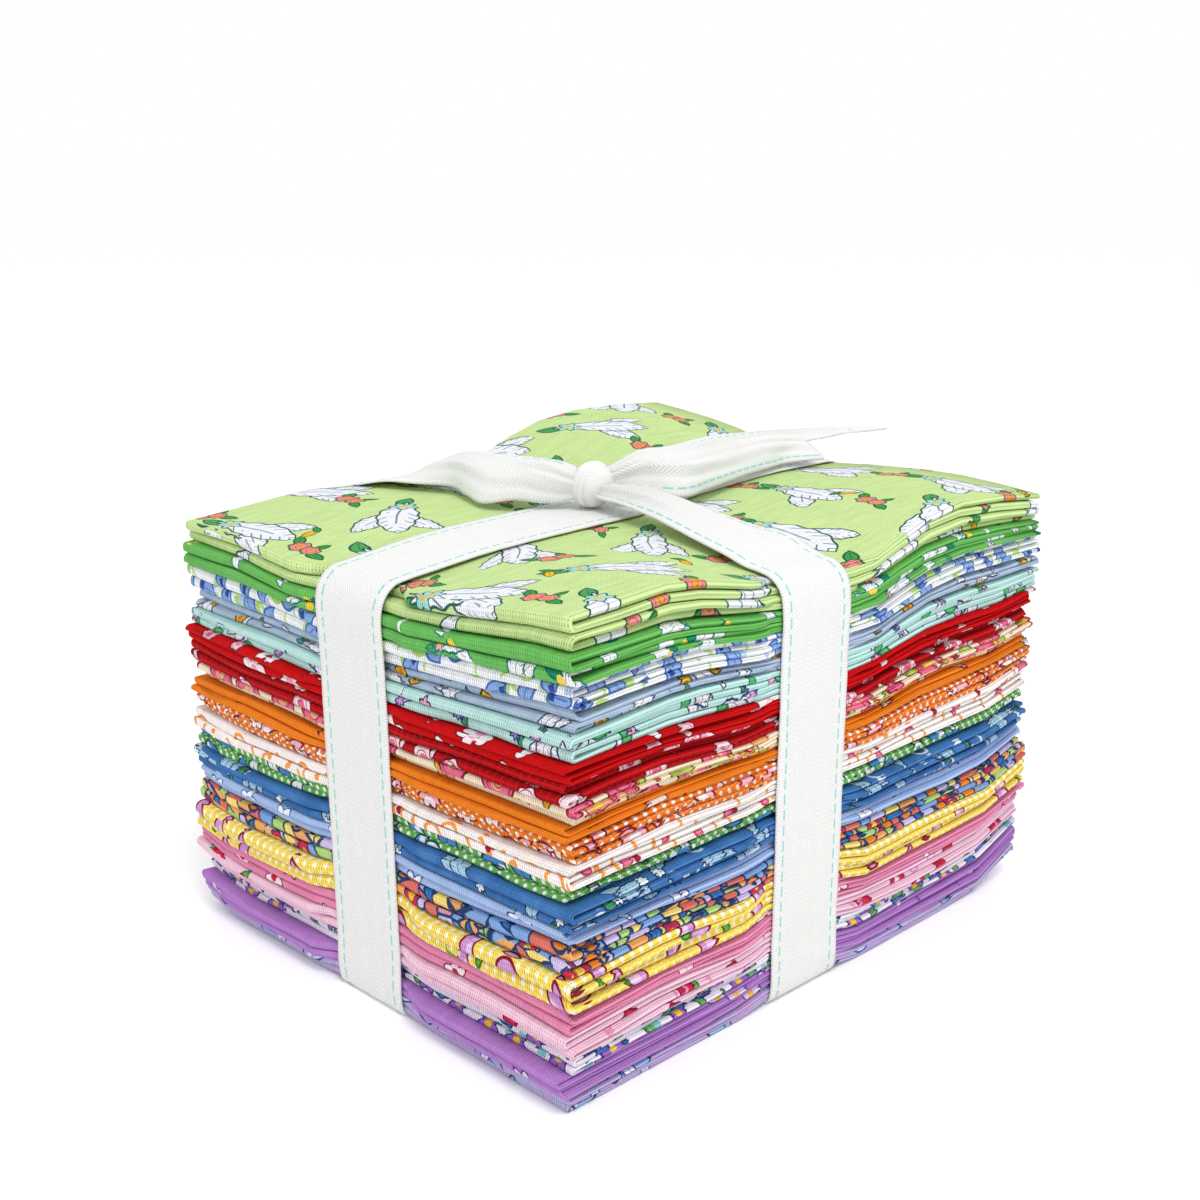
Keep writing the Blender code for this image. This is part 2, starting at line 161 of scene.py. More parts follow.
class Graph:
    """A material's node tree, with one method that adds any node."""

    def __init__(self, name: str) -> None:
        """Makes a material with an empty tree.

        Args:
            name: the material's name.
        """
        self.material = bpy.data.materials.new(name)
        self.material.use_nodes = True
        self.tree = self.material.node_tree
        self.tree.nodes.clear()

    def node(
        self, kind: str, settings: Optional[dict] = None, inputs: Optional[dict] = None
    ) -> bpy.types.Node:
        """Adds a node.

        Args:
            kind: the node's bl_idname.
            settings: attributes to set on it.
            inputs: values by input name or index; a Sock is linked.

        Returns:
            The new node.
        """
        made = self.tree.nodes.new(kind)
        for key, value in (settings or {}).items():
            setattr(made, key, value)
        for key, value in (inputs or {}).items():
            if isinstance(value, Sock):
                self.tree.links.new(value.socket, made.inputs[key])
            else:
                made.inputs[key].default_value = value
        return made

    def math(self, operation: str, *values: Value) -> Sock:
        """A Math node over the values."""
        made = self.node("ShaderNodeMath", {"operation": operation}, dict(enumerate(values)))
        return Sock(self, made.outputs[0])

    def mix(self, share: Value, first: Colour, second: Colour) -> Sock:
        """Colour that goes from first to second as share goes from 0 to 1."""
        made = self.node("ShaderNodeMix", {"data_type": "RGBA"}, {0: share, 6: first, 7: second})
        return Sock(self, made.outputs[2])

    def cloth_uv(self) -> tuple[Sock, Sock]:
        """Reads the piece's own cloth coordinates.

        Returns:
            Millimetres across and along the cloth.
        """
        uv = Sock(self, self.node("ShaderNodeUVMap", {"uv_map": "cloth"}).outputs[0])
        parts = self.node("ShaderNodeSeparateXYZ", inputs={0: uv})
        return Sock(self, parts.outputs[0]) * 1000.0, Sock(self, parts.outputs[1]) * 1000.0

    def vector(self, x: Value, y: Value, z: Value = 0.0) -> Sock:
        """A vector of three values."""
        return Sock(self, self.node("ShaderNodeCombineXYZ", inputs={0: x, 1: y, 2: z}).outputs[0])

    def hashes(self, x: Value, y: Value, seed: float) -> list[Sock]:
        """Draws even random values that depend on the whole numbers x and y.

        Args:
            x: column of the cell.
            y: row of the cell.
            seed: sets one scatter apart from another.

        Returns:
            Three values from 0 to 1.
        """
        where = self.vector(x, y, seed)
        noise = self.node("ShaderNodeTexWhiteNoise", {"noise_dimensions": "3D"}, {"Vector": where})
        parts = self.node("ShaderNodeSeparateColor", inputs={0: Sock(self, noise.outputs["Color"])})
        return [Sock(self, out) for out in parts.outputs]

    def cloud(self, x: Value, y: Value, size: float, seed: float) -> Sock:
        """Draws smooth noise.

        Args:
            x: place across, in mm.
            y: place along, in mm.
            size: width of a lump in mm.
            seed: which noise.

        Returns:
            The noise, round 0.5.
        """
        where = self.vector(x / size, y / size, seed)
        inputs = {"Vector": where, "Scale": 1.0, "Detail": 2.0}
        made = self.node("ShaderNodeTexNoise", {"noise_dimensions": "3D"}, inputs)
        return Sock(self, made.outputs[0])

    def close(self, colour: Colour, height: Sock, finish: "Finish") -> bpy.types.Material:
        """Adds the surface shader and its bump.

        Args:
            colour: base colour.
            height: relief, about -1 to 1.
            finish: how the surface takes light.

        Returns:
            The material.
        """
        relief = {"Strength": finish.bump, "Distance": finish.relief * MM, "Height": height}
        bump = self.node("ShaderNodeBump", inputs=relief)
        inputs = {
            "Base Color": colour,
            "Roughness": finish.roughness,
            "Specular IOR Level": finish.specular,
            "Sheen Weight": finish.sheen,
            "Sheen Roughness": finish.sheen_roughness,
            "Normal": Sock(self, bump.outputs[0]),
        }
        surface = self.node("ShaderNodeBsdfPrincipled", inputs=inputs)
        self.node("ShaderNodeOutputMaterial", inputs={0: Sock(self, surface.outputs[0])})
        return self.material


@dataclass(frozen=True)
class Finish:
    """How a surface takes light, with the height in mm that a full bump stands for."""

    roughness: float = 0.88
    specular: float = 0.08
    sheen: float = 0.0
    bump: float = 0.55
    relief: float = 0.14
    sheen_roughness: float = 0.6


def rgb(code: str) -> tuple[float, float, float, float]:
    """Turns a display colour to scene-linear.

    Args:
        code: six hexadecimal digits.

    Returns:
        Red, green, blue and alpha.
    """
    values = [int(code[i : i + 2], 16) / 255 for i in (0, 2, 4)]
    linear = [v / 12.92 if v <= 0.04045 else ((v + 0.055) / 1.055) ** 2.4 for v in values]
    return (*linear, 1.0)


# ---------------------------------------------------------------- prints


class Kind(Enum):
    """Shape of one motif."""

    PLUME = "plume"
    BLOSSOM = "blossom"
    ROSE = "rose"
    LEAF = "leaf"
    DOT = "dot"
    BELL = "bell"
    SCALLOP = "scallop"
    SWIRL = "swirl"
    STEM = "stem"


class Style(Enum):
    """What the ground of a print does between its motifs."""

    PLAIN = "plain"
    DOTS = "dots"
    GRID = "grid"
    WASH = "wash"
    PATCH = "patch"


@dataclass(frozen=True)
class Motif:
    """One drawn shape: its half length in mm, colours, and place in its cell."""

    kind: Kind
    size: float
    fill: str
    line: str = ""
    heart: str = ""
    shift: tuple[float, float] = (0.0, 0.0)
    aim: float = 0.0
    pen: float = 0.45


@dataclass(frozen=True)
class Scatter:
    """Motifs that repeat together in square cells, each cell's group moved and turned its own way."""

    pitch: float
    motifs: tuple[Motif, ...]
    jitter: float = 0.35
    turn: float = 1.0
    keep: float = 1.0
    seed: float = 0.0
    aspect: float = 1.0
    offset: float = 0.0


@dataclass(frozen=True)
class Print:
    """A fabric's design: the ground and what is scattered on it."""

    ground: str
    style: Style = Style.PLAIN
    second: str = "ffffff"
    scatters: tuple[Scatter, ...] = ()


def spray(size: float, petal: str, heart: str, leaf: str, line: str) -> tuple[Motif, ...]:
    """A pair of round flowers with leaves either side.

    Args:
        size: radius of a flower in mm.
        petal: its colour.
        heart: its middle's colour.
        leaf: the leaves' colour.
        line: outline colour.

    Returns:
        The motifs, drawn in this order.
    """
    return (
        Motif(Kind.LEAF, size * 1.05, leaf, line, shift=(-1.75 * size, 0.25 * size), aim=0.25, pen=0.4),
        Motif(Kind.LEAF, size * 1.05, leaf, line, shift=(1.8 * size, -0.3 * size), aim=-0.15, pen=0.4),
        Motif(Kind.LEAF, size * 0.8, leaf, line, shift=(0.1 * size, -1.25 * size), aim=1.2, pen=0.4),
        Motif(Kind.ROSE, size, petal, line, heart, shift=(-0.45 * size, 0.35 * size), pen=0.35),
        Motif(Kind.ROSE, size * 0.85, petal, line, heart, shift=(0.55 * size, -0.3 * size), pen=0.35),
    )


def plume(size: float, fill: str, line: str, flower: str, heart: str) -> tuple[Motif, ...]:
    """A spray of three large pale feathery leaves on a green stem, with a small flower where they meet.

    Args:
        size: half length in mm.
        fill: the leaves' colour.
        line: outline colour.
        flower: petals' colour.
        heart: the flower's middle.

    Returns:
        The motifs, drawn in this order.
    """
    pen = 0.30 + 0.012 * size
    return (
        Motif(Kind.LEAF, size * 0.30, "4fa65a", line, shift=(-0.96 * size, 0.05 * size), aim=0.15, pen=pen),
        Motif(Kind.PLUME, size * 0.66, fill, line, shift=(0.34 * size, 0.34 * size), aim=0.62, pen=pen),
        Motif(Kind.PLUME, size * 0.60, fill, line, shift=(0.36 * size, -0.32 * size), aim=-0.58, pen=pen),
        Motif(Kind.PLUME, size * 0.96, fill, line, shift=(0.06 * size, 0.0), pen=pen),
        Motif(Kind.BLOSSOM, size * 0.24, flower, line, heart, shift=(-0.60 * size, 0.0), pen=pen),
    )


WHITE, NAVY, FOREST, WINE = "f4f6fb", "27406f", "1f5a45", "8c1730"
PRINTS: dict[str, Print] = {
    "01_light_green": Print("c9e29a", scatters=(
        Scatter(33.0, plume(12.0, "eef0f8", "2d5c57", "a6dcd6", "f4c02e"), 0.14, 0.3, seed=3.1,
                aspect=0.74),
        Scatter(33.0, spray(2.5, "f08a8c", "f2a03c", "3f9a4c", "256336"), 0.16, 0.25, seed=3.1, aspect=0.74,
                offset=0.5),
        Scatter(29.0, (
            Motif(Kind.LEAF, 2.4, "f4c02e", "6d5a1c", shift=(0.8, 0.4), aim=0.5, pen=0.35),
            Motif(Kind.LEAF, 1.8, "3f9a4c", "256336", shift=(-1.6, -0.6), aim=-0.4, pen=0.35),
        ), 0.5, 0.5, 0.45, 21.7),
    )),
    "02_mid_green": Print("6cba5e", scatters=(
        Scatter(15.0, plume(5.4, WHITE, "14776a", "f6a3bd", "f4d34a"), 0.3, 1.0, 0.8, 5.3),
        Scatter(12.0, (
            Motif(Kind.LEAF, 2.2, "1c8a62", "14776a"),
            Motif(Kind.DOT, 0.9, "f4d34a", shift=(1.6, 1.0)),
        ), 0.5, 1.0, 0.55, 1.7),
    )),
    "03_blue_bell": Print("f4f7fb", scatters=(
        Scatter(9.0, (
            Motif(Kind.STEM, 4.0, "bfe08a"),
            Motif(Kind.LEAF, 2.2, "b4dc7c", shift=(1.0, 2.4), aim=0.9),
        ), 0.3, 1.0, seed=2.2),
        Scatter(7.4, (
            Motif(Kind.BELL, 2.7, "8fb0e6", "4a6fc0", "34549f", pen=0.5),
            Motif(Kind.DOT, 0.8, "b9cff2", shift=(-2.4, 1.6)),
        ), 0.3, 1.0, 0.85, 7.9),
    )),
    "04_grey_blue": Print("b9cbe0", Style.WASH, "a6bcd6", (
        Scatter(13.0, plume(5.2, "f2f4fa", "31476e", "c9d4e6", "f3a02d"), 0.3, 1.0, 0.85, 4.4),
        Scatter(11.0, (Motif(Kind.ROSE, 1.7, "f5c533", "59451c", "e9782b"),), 0.5, 1.0, 0.6, 9.2),
    )),
    "05_aqua": Print("bfe6e1", scatters=(
        Scatter(13.0, plume(5.4, "f4f2fb", NAVY, "b58fd8", "ee9cc0"), 0.3, 1.0, 0.75, 6.6),
        Scatter(12.0, (
            Motif(Kind.LEAF, 2.1, "5fc070", "1f7d66"),
            Motif(Kind.BLOSSOM, 1.6, "f0a6c4", NAVY, shift=(2.2, -1.4)),
        ), 0.4, 1.0, 0.6, 3.5),
    )),
    "06_red": Print("cc0a10", scatters=(
        Scatter(15.0, (Motif(Kind.BLOSSOM, 4.2, "fbeaf0", "7d0a16", "f3a2bd"),), 0.3, 1.0, 0.7, 1.9),
        Scatter(12.0, (Motif(Kind.ROSE, 2.4, "f6c4d3", "7d0a16", "e8527e"),), 0.4, 1.0, 0.5, 5.8),
    )),
    "07_red_grid": Print("c8161c", Style.GRID, "a20d16", (
        Scatter(9.5, (
            Motif(Kind.ROSE, 3.2, "f9dbe4", "7d0a16", "ee6f97"),
            Motif(Kind.LEAF, 1.6, "f7f0ef", "7d0a16", shift=(2.6, 2.0)),
        ), 0.3, 1.0, 0.85, 2.8),
    )),
    "08_cream_rose": Print("f6e6c8", scatters=(
        Scatter(10.0, (
            Motif(Kind.LEAF, 3.4, "b6cc62", "5c6b23"),
            Motif(Kind.LEAF, 2.6, "f3c23c", "8c5a1c", shift=(1.5, 2.6), aim=1.2),
        ), 0.3, 1.0, seed=6.1),
        Scatter(11.0, (Motif(Kind.ROSE, 4.4, "ec6d93", WINE, "f6b08a", pen=0.5),), 0.25, 1.0, 0.9, 4.9),
        Scatter(13.0, (Motif(Kind.BLOSSOM, 3.6, "f7b184", "a4382a", "f5d24c"),), 0.3, 1.0, 0.7, 8.8),
    )),
    "09_orange": Print("f08322", scatters=(
        Scatter(12.0, (Motif(Kind.PLUME, 3.8, "fbe9e3", "7b2418", pen=0.5),), 0.3, 1.0, 0.55, 7.2),
    )),
    "10_orange_dot": Print("ee7f26", Style.DOTS, "fff4ea", (
        Scatter(10.0, (
            Motif(Kind.SCALLOP, 3.2, "f6b5c8", "8c1f1f", "fbeff2", pen=0.55),
        ), 0.3, 1.0, 0.85, 5.1),
        Scatter(12.0, (Motif(Kind.BLOSSOM, 2.8, "fbf1f0", "8c1f1f", "ef6f3c"),), 0.35, 1.0, 0.6, 2.4),
    )),
    "11_white_orange": Print("fbf3f0", scatters=(
        Scatter(7.5, (Motif(Kind.SWIRL, 2.9, "f4a04a"),), 0.3, 1.0, seed=3.9),
        Scatter(9.0, (
            Motif(Kind.LEAF, 1.9, "ee86a6", "c83c66"),
            Motif(Kind.DOT, 0.8, "a5203c", shift=(1.8, 1.2)),
        ), 0.4, 1.0, 0.75, 9.7),
    )),
    "12_green_dot": Print("68b45a", Style.DOTS, "f2fbef", (
        Scatter(10.5, (Motif(Kind.BELL, 3.6, "4a8fd0", FOREST, "eef4fb", pen=0.6),), 0.3, 1.0, 0.8, 6.9),
        Scatter(12.0, (Motif(Kind.BELL, 2.6, "f1f5f8", FOREST, pen=0.6),), 0.4, 1.0, 0.6, 1.3),
    )),
    "13_denim_blue": Print("4a80bf", Style.WASH, "3a6cab", (
        Scatter(12.0, plume(5.4, "a9cfe8", "1d3566", "e6f2f6", "e6f2f6"), 0.3, 1.0, 0.8, 8.1),
        Scatter(9.0, (Motif(Kind.SWIRL, 2.6, "dbe9f5"),), 0.4, 1.0, 0.5, 4.2),
    )),
    "14_periwinkle": Print("a9c2ee", scatters=(
        Scatter(14.0, (Motif(Kind.BLOSSOM, 3.2, "f1f5fd", "34549f", "7f9fe0"),), 0.35, 1.0, 0.55, 3.3),
    )),
    "15_patchwork": Print("b5cf6a", Style.PATCH, NAVY, (
        Scatter(8.5, (Motif(Kind.DOT, 2.2, "f28a2c", NAVY, pen=0.6),), 0.4, 1.0, 0.45, 2.6),
        Scatter(9.5, (Motif(Kind.LEAF, 2.9, "3d7cc4", NAVY, pen=0.6),), 0.4, 1.0, 0.6, 7.4),
        Scatter(11.0, (Motif(Kind.ROSE, 2.4, "d8304f", NAVY, "f6cf45"),), 0.4, 1.0, 0.5, 5.5),
    )),
    "16_yellow_dot": Print("fadb62", Style.DOTS, "fffbe2", (
        Scatter(10.0, (Motif(Kind.SCALLOP, 3.2, "d39ad6", WINE, "e9c7ea", pen=0.5),), 0.35, 1.0, 0.8, 6.3),
        Scatter(13.0, (Motif(Kind.LEAF, 1.6, "6fbf4f", "3c7a2c"),), 0.5, 1.0, 0.5, 1.1),
    )),
    "17_pink": Print("eb8fb6", scatters=(
        Scatter(15.0, (Motif(Kind.BLOSSOM, 3.2, "fbeef3", "a51e44", "d4204a"),), 0.35, 1.0, 0.6, 4.7),
    )),
    "18_pale_pink": Print("f5cbe0", scatters=(
        Scatter(13.0, (
            Motif(Kind.LEAF, 1.8, "69b45c", "2f7a3a", shift=(-2.2, 1.4)),
            Motif(Kind.ROSE, 2.6, "d62d55", WINE, "fbe5ec"),
        ), 0.35, 1.0, 0.6, 8.6),
        Scatter(9.0, (Motif(Kind.SWIRL, 2.2, "e59abf"),), 0.4, 1.0, 0.4, 2.0),
    )),
    "19_violet_white": Print("efe9f6", scatters=(
        Scatter(7.0, (
            Motif(Kind.LEAF, 2.6, "6fb86a", "2f6a54", pen=0.5),
            Motif(Kind.DOT, 1.1, "7fd0cf", shift=(1.8, -1.6)),
        ), 0.35, 1.0, 0.9, 5.9),
        Scatter(8.5, (
            Motif(Kind.BLOSSOM, 3.0, "9a6cc4", "4b2a7a", "f4c33a", pen=0.5),
        ), 0.3, 1.0, 0.8, 3.7),
        Scatter(10.0, (Motif(Kind.ROSE, 2.5, "4f79c9", NAVY, "f0a0c0"),), 0.35, 1.0, 0.6, 9.9),
    )),
    "20_purple": Print("b884cf", scatters=(
        Scatter(14.0, (Motif(Kind.BLOSSOM, 3.0, "e9d5f0", "6d3b96", "f3c04c"),), 0.4, 1.0, 0.4, 7.7),
    )),
    "21_lavender": Print("c7a3d6", Style.WASH, "b7b9e2", (
        Scatter(17.0, (Motif(Kind.BELL, 4.6, "9db8e4", NAVY, "eff3fa", pen=0.5),), 0.35, 1.0, 0.85, 6.0),
        Scatter(13.0, (Motif(Kind.LEAF, 2.6, "e4ecf8", "3b5fa8"),), 0.4, 1.0, 0.5, 1.6),
    )),
}


class PrintMaterial:
    """Builds a fabric's material from its print.

    Pitches and sizes are in mm of cloth: the yarns of the weave, their slubs, the dots, the grid, the wash
    and the patches. TONE and CONTRAST say how much the weave darkens the colour, and PEN_SOFT how soft a line
    is.
    """

    WEAVE, TONE, CONTRAST = 0.56, 0.13, 0.75
    SLUB, SLUB_STRETCH = 1.4, 0.15
    DOT_PITCH, DOT_SIZE, DOT_SOFT = 2.3, 0.42, 0.12
    GRID_PITCH, GRID_OPEN, GRID_SOFT = 1.9, 0.40, 0.08
    WASH_SIZE, PATCH_SIZE, PATCH_LINE = 5.0, 5.2, 0.045
    PEN_SOFT = 0.14
    PATCH_COLOURS = ("b4d982", "86ace2", "e2776a", "d3c5ee", "f3ae66", "f8df80")

    def __init__(self, name: str, design: Print) -> None:
        """Starts the material.

        Args:
            name: the fabric's name.
            design: its print.
        """
        self.graph = Graph("cotton_" + name)
        self.design = design
        self.u, self.v = self.graph.cloth_uv()

    def build(self) -> bpy.types.Material:
        """Composes ground, motifs and weave.

        Returns:
            The material.
        """
        colour: Colour = self._ground()
        for scatter in self.design.scatters:
            colour = self._scattered(colour, scatter)
        warp, weft = ((line * (TURN / self.WEAVE)).sin() for line in (self.u, self.v))
        wave = warp * (weft * 0.5 + 0.6)
        slub = self.graph.cloud(self.u, self.v * self.SLUB_STRETCH, self.SLUB, 5.0) - 0.5
        shade = wave * 0.5 + slub * 0.5
        dark = (shade * self.CONTRAST + self.TONE).high(0.0)
        colour = self.graph.mix(dark, colour, BLACK)
        return self.graph.close(colour, wave + slub * 0.8, Finish())

    def _ground(self) -> Colour:
        """Draws what lies between the motifs.

        Returns:
            Its colour.
        """
        g, design = self.graph, self.design
        base, second = rgb(design.ground), rgb(design.second)
        if design.style is Style.DOTS:
            a = ((self.u + self.v) / self.DOT_PITCH).fract() - 0.5
            b = ((self.u - self.v) / self.DOT_PITCH).fract() - 0.5
            away = (a * a + b * b) * self.DOT_PITCH - self.DOT_SIZE * self.DOT_SIZE
            return g.mix(away.inside(self.DOT_SOFT), base, second)
        if design.style is Style.GRID:
            a, b = (abs((line / self.GRID_PITCH).fract() - 0.5) for line in (self.u, self.v))
            return g.mix((self.GRID_OPEN - a.high(b)).inside(self.GRID_SOFT), second, base)
        if design.style is Style.WASH:
            tone = (g.cloud(self.u, self.v, self.WASH_SIZE, 2.0) - 0.35) * 3.0
            return g.mix(tone.high(0.0).low(1.0), base, second)
        if design.style is Style.PATCH:
            return self._patches(second)
        return base

    def _patches(self, line: tuple) -> Sock:
        """Draws a ground of small outlined patches.

        Args:
            line: outline colour.

        Returns:
            Its colour.
        """
        g = self.graph
        inputs = {"Vector": g.vector(self.u / self.PATCH_SIZE, self.v / self.PATCH_SIZE, 3.0), "Scale": 1.0}
        cells = g.node("ShaderNodeTexVoronoi", {"feature": "F1"}, inputs)
        tint = Sock(g, cells.outputs["Color"])
        pick = Sock(g, g.node("ShaderNodeSeparateColor", inputs={0: tint}).outputs[0])
        colour: Colour = rgb(self.PATCH_COLOURS[0])
        for index, code in enumerate(self.PATCH_COLOURS[1:], 1):
            over = index / len(self.PATCH_COLOURS) - pick
            colour = g.mix(over.inside(0.01), colour, rgb(code))
        edge = g.node("ShaderNodeTexVoronoi", {"feature": "DISTANCE_TO_EDGE"}, inputs)
        return g.mix((Sock(g, edge.outputs[0]) - self.PATCH_LINE).inside(0.03), colour, line)

    def _scattered(self, colour: Colour, scatter: Scatter) -> Colour:
        """Draws one scatter over a colour.

        Args:
            colour: what is there already.
            scatter: the motifs and their cells.

        Returns:
            The new colour.
        """
        g = self.graph
        tall = scatter.pitch * scatter.aspect
        px = self.u / scatter.pitch + scatter.seed + scatter.offset
        py = self.v / tall + scatter.seed * 1.7
        row = py.floor()
        px = px + (row * 0.5).fract()
        column = px.floor()
        r1, r2, r3 = g.hashes(column, row, scatter.seed)
        fx = (px - column - 0.5 - (r1 - 0.5) * scatter.jitter) * scatter.pitch
        fy = (py - row - 0.5 - (r2 - 0.5) * scatter.jitter) * tall
        turn = (r3 - 0.5) * (TURN * scatter.turn)
        c, s = turn.cos(), turn.sin()
        x, y = fx * c + fy * s, fy * c - fx * s
        present: Value = 1.0
        if scatter.keep < 1:
            present = ((r1 + r2 * 7.3 + r3 * 3.1).fract() - scatter.keep).inside(0.001)
        for motif in scatter.motifs:
            colour = self._drawn(colour, motif, x, y, present)
        return colour

    def _drawn(self, colour: Colour, motif: Motif, x: Sock, y: Sock, present: Value) -> Colour:
        """Draws one motif over a colour.

        Args:
            colour: what is there already.
            motif: the motif.
            x: place in the cell, in mm.
            y: place in the cell, in mm.
            present: 1 where the cell holds a motif.

        Returns:
            The new colour.
        """
        g = self.graph
        c, s = math.cos(motif.aim), math.sin(motif.aim)
        mx, my = x - motif.shift[0], y - motif.shift[1]
        lx, ly = (mx * c + my * s) / motif.size, (my * c - mx * s) / motif.size
        outline, inner, heart = Shapes(motif.kind).at(lx, ly)
        edge = outline * motif.size
        half_pen = motif.pen * 0.5 if motif.line else 0.0
        if motif.line:
            colour = g.mix((edge - half_pen).inside(self.PEN_SOFT) * present, colour, rgb(motif.line))
        fill: Colour = rgb(motif.fill)
        if motif.heart and heart is not None:
            fill = g.mix((heart * motif.size).inside(self.PEN_SOFT), fill, rgb(motif.heart))
        if motif.line and inner is not None:
            fill = g.mix((inner * motif.size).inside(0.16) * 0.8, fill, rgb(motif.line))
        return g.mix((edge + half_pen).inside(self.PEN_SOFT) * present, colour, fill)


Outline = tuple[Sock, Optional[Sock], Optional[Sock]]


@dataclass(frozen=True)
class Shapes:
    """Outlines of the motifs in coordinates where a motif is about one unit from centre to tip."""

    kind: Kind

    def at(self, x: Sock, y: Sock) -> Outline:
        """Looks up the motif's drawing at a place.

        Args:
            x: place along the motif.
            y: place across it.

        Returns:
            Outline, drawn inner lines and heart, each below zero inside.
        """
        makers: dict[Kind, Callable[[Sock, Sock], Outline]] = {
            Kind.PLUME: self._plume,
            Kind.BLOSSOM: self._blossom,
            Kind.ROSE: self._rose,
            Kind.LEAF: self._leaf,
            Kind.DOT: self._dot,
            Kind.BELL: self._bell,
            Kind.SCALLOP: self._scallop,
            Kind.SWIRL: self._swirl,
            Kind.STEM: self._stem,
        }
        return makers[self.kind](x, y)

    @staticmethod
    def _radius(x: Sock, y: Sock) -> Sock:
        """Distance from the motif's centre."""
        return (x * x + y * y).sqrt()

    def _plume(self, x: Sock, y: Sock) -> Outline:
        """A broad feathery leaf with barbs and a midrib.

        Args:
            x: place along the motif.
            y: place across it.

        Returns:
            Outline, inner lines and heart.
        """
        body = (1.0 - x * x) * (0.34 + x * 0.10) + (x * 17.0).sin() * 0.018
        edge = abs(y) - body
        barbs = abs((x * 4.2 - abs(y) * 4.6).fract() - 0.5) - 0.09
        strokes = barbs.high(-0.17 - edge).high(edge + 0.02).high((x * 7.0 + y * 9.0).sin() * 0.5 - 0.36)
        return edge, strokes.low((abs(y) - 0.018).high(abs(x + 0.15) - 0.6)), None

    def _blossom(self, x: Sock, y: Sock) -> Outline:
        """Five round petals.

        Args:
            x: place along the motif.
            y: place across it.

        Returns:
            Outline, inner lines and heart.
        """
        r, a = self._radius(x, y), y.angle(x)
        petals = (a * 5.0).cos()
        return r - petals * 0.20 - 0.78, (petals + 0.93).high(0.42 - r) * 0.3, r - 0.30

    def _rose(self, x: Sock, y: Sock) -> Outline:
        """A round flower with a spiral line.

        Args:
            x: place along the motif.
            y: place across it.

        Returns:
            Outline, inner lines and heart.
        """
        r, a = self._radius(x, y), y.angle(x)
        turns = (r * 2.3 + a / TURN).fract()
        return r - (a * 6.0).cos() * 0.07 - 0.90, (turns - 0.16) * 0.5, r - 0.36

    def _leaf(self, x: Sock, y: Sock) -> Outline:
        """A pointed leaf with its midrib."""
        edge = abs(y) - (1.0 - x * x) * 0.42
        return edge, (abs(y) - 0.03).high(abs(x) - 0.75), None

    def _dot(self, x: Sock, y: Sock) -> Outline:
        """A disc."""
        return self._radius(x, y) - 1.0, None, None

    def _bell(self, x: Sock, y: Sock) -> Outline:
        """A hanging bell flower.

        Args:
            x: place along the motif.
            y: place across it.

        Returns:
            Outline, inner lines and heart.
        """
        side = abs(y) - ((x + 1.0) * 1.35).sin() * 0.62 - 0.05
        edge = side.high(abs(x) - 1.0)
        return edge, (abs(y) - 0.05).high(abs(x + 0.1) - 0.45), (0.45 - x).high(abs(y) - 0.22)

    def _scallop(self, x: Sock, y: Sock) -> Outline:
        """Half a disc with a smaller one in it."""
        r = self._radius(x, y)
        return (r - 1.0).high(-0.05 - y), None, r - 0.5

    def _swirl(self, x: Sock, y: Sock) -> Outline:
        """A hook with a dot at its end.

        Args:
            x: place along the motif.
            y: place across it.

        Returns:
            Outline, inner lines and heart.
        """
        r = self._radius(x, y)
        hook = (abs(r - 0.74) - 0.13).high(-0.35 - y * 0.8 - x * 0.3)
        return hook.low(self._radius(x + 0.6, y + 0.15) - 0.24), None, None

    def _stem(self, x: Sock, y: Sock) -> Outline:
        """A curving line."""
        bend = abs(y - (x * 2.6).sin() * 0.32) - 0.09
        return bend.high(abs(x) - 1.0), None, None


class TapeMaterial:
    """The tape's off-white herringbone twill: a zigzag's width, rib pitches and the selvedge's start."""

    COLUMN, RIB, SELVEDGE_RIB = 4.6, 1.0, 0.55
    SELVEDGE = 8.6

    def __init__(self, name: str, grain: float = 1.0) -> None:
        """Starts the material, with its ridges scaled by the grain."""
        self.graph, self.grain = Graph(name), grain

    def build(self) -> bpy.types.Material:
        """Composes the twill and its plain selvedges.

        Returns:
            The material.
        """
        g = self.graph
        across, along = g.cloth_uv()
        zigzag = abs((across / self.COLUMN).fract() - 0.5) * self.COLUMN
        twill = ((along + zigzag * 1.5) * (TURN / self.RIB)).sin()
        ribs = (along * (TURN / self.SELVEDGE_RIB)).sin()
        edge = (self.SELVEDGE - abs(across)).inside(0.3)
        height = (twill * (1.0 - edge) + ribs * edge * 0.8) * self.grain
        wear = g.cloud(across, along, 3.0, 9.0) - 0.5
        shade = (height * 0.15 + wear * 0.08 + 0.13).high(0.0)
        colour = g.mix(shade, rgb("e8e8e7"), rgb("8d9190"))
        return g.close(colour, height, Finish(roughness=0.8, specular=0.2, sheen=0.05, relief=0.10))


def plain_material(name: str, code: str, roughness: float) -> bpy.types.Material:
    """Makes a one-colour material.

    Args:
        name: its name.
        code: its display colour.
        roughness: its roughness.

    Returns:
        The material.
    """
    graph = Graph(name)
    inputs = {"Base Color": rgb(code), "Roughness": roughness, "Specular IOR Level": 0.2}
    surface = graph.node("ShaderNodeBsdfPrincipled", inputs=inputs)
    graph.node("ShaderNodeOutputMaterial", inputs={0: Sock(graph, surface.outputs[0])})
    return graph.material


# ---------------------------------------------------------------- shape of the stack


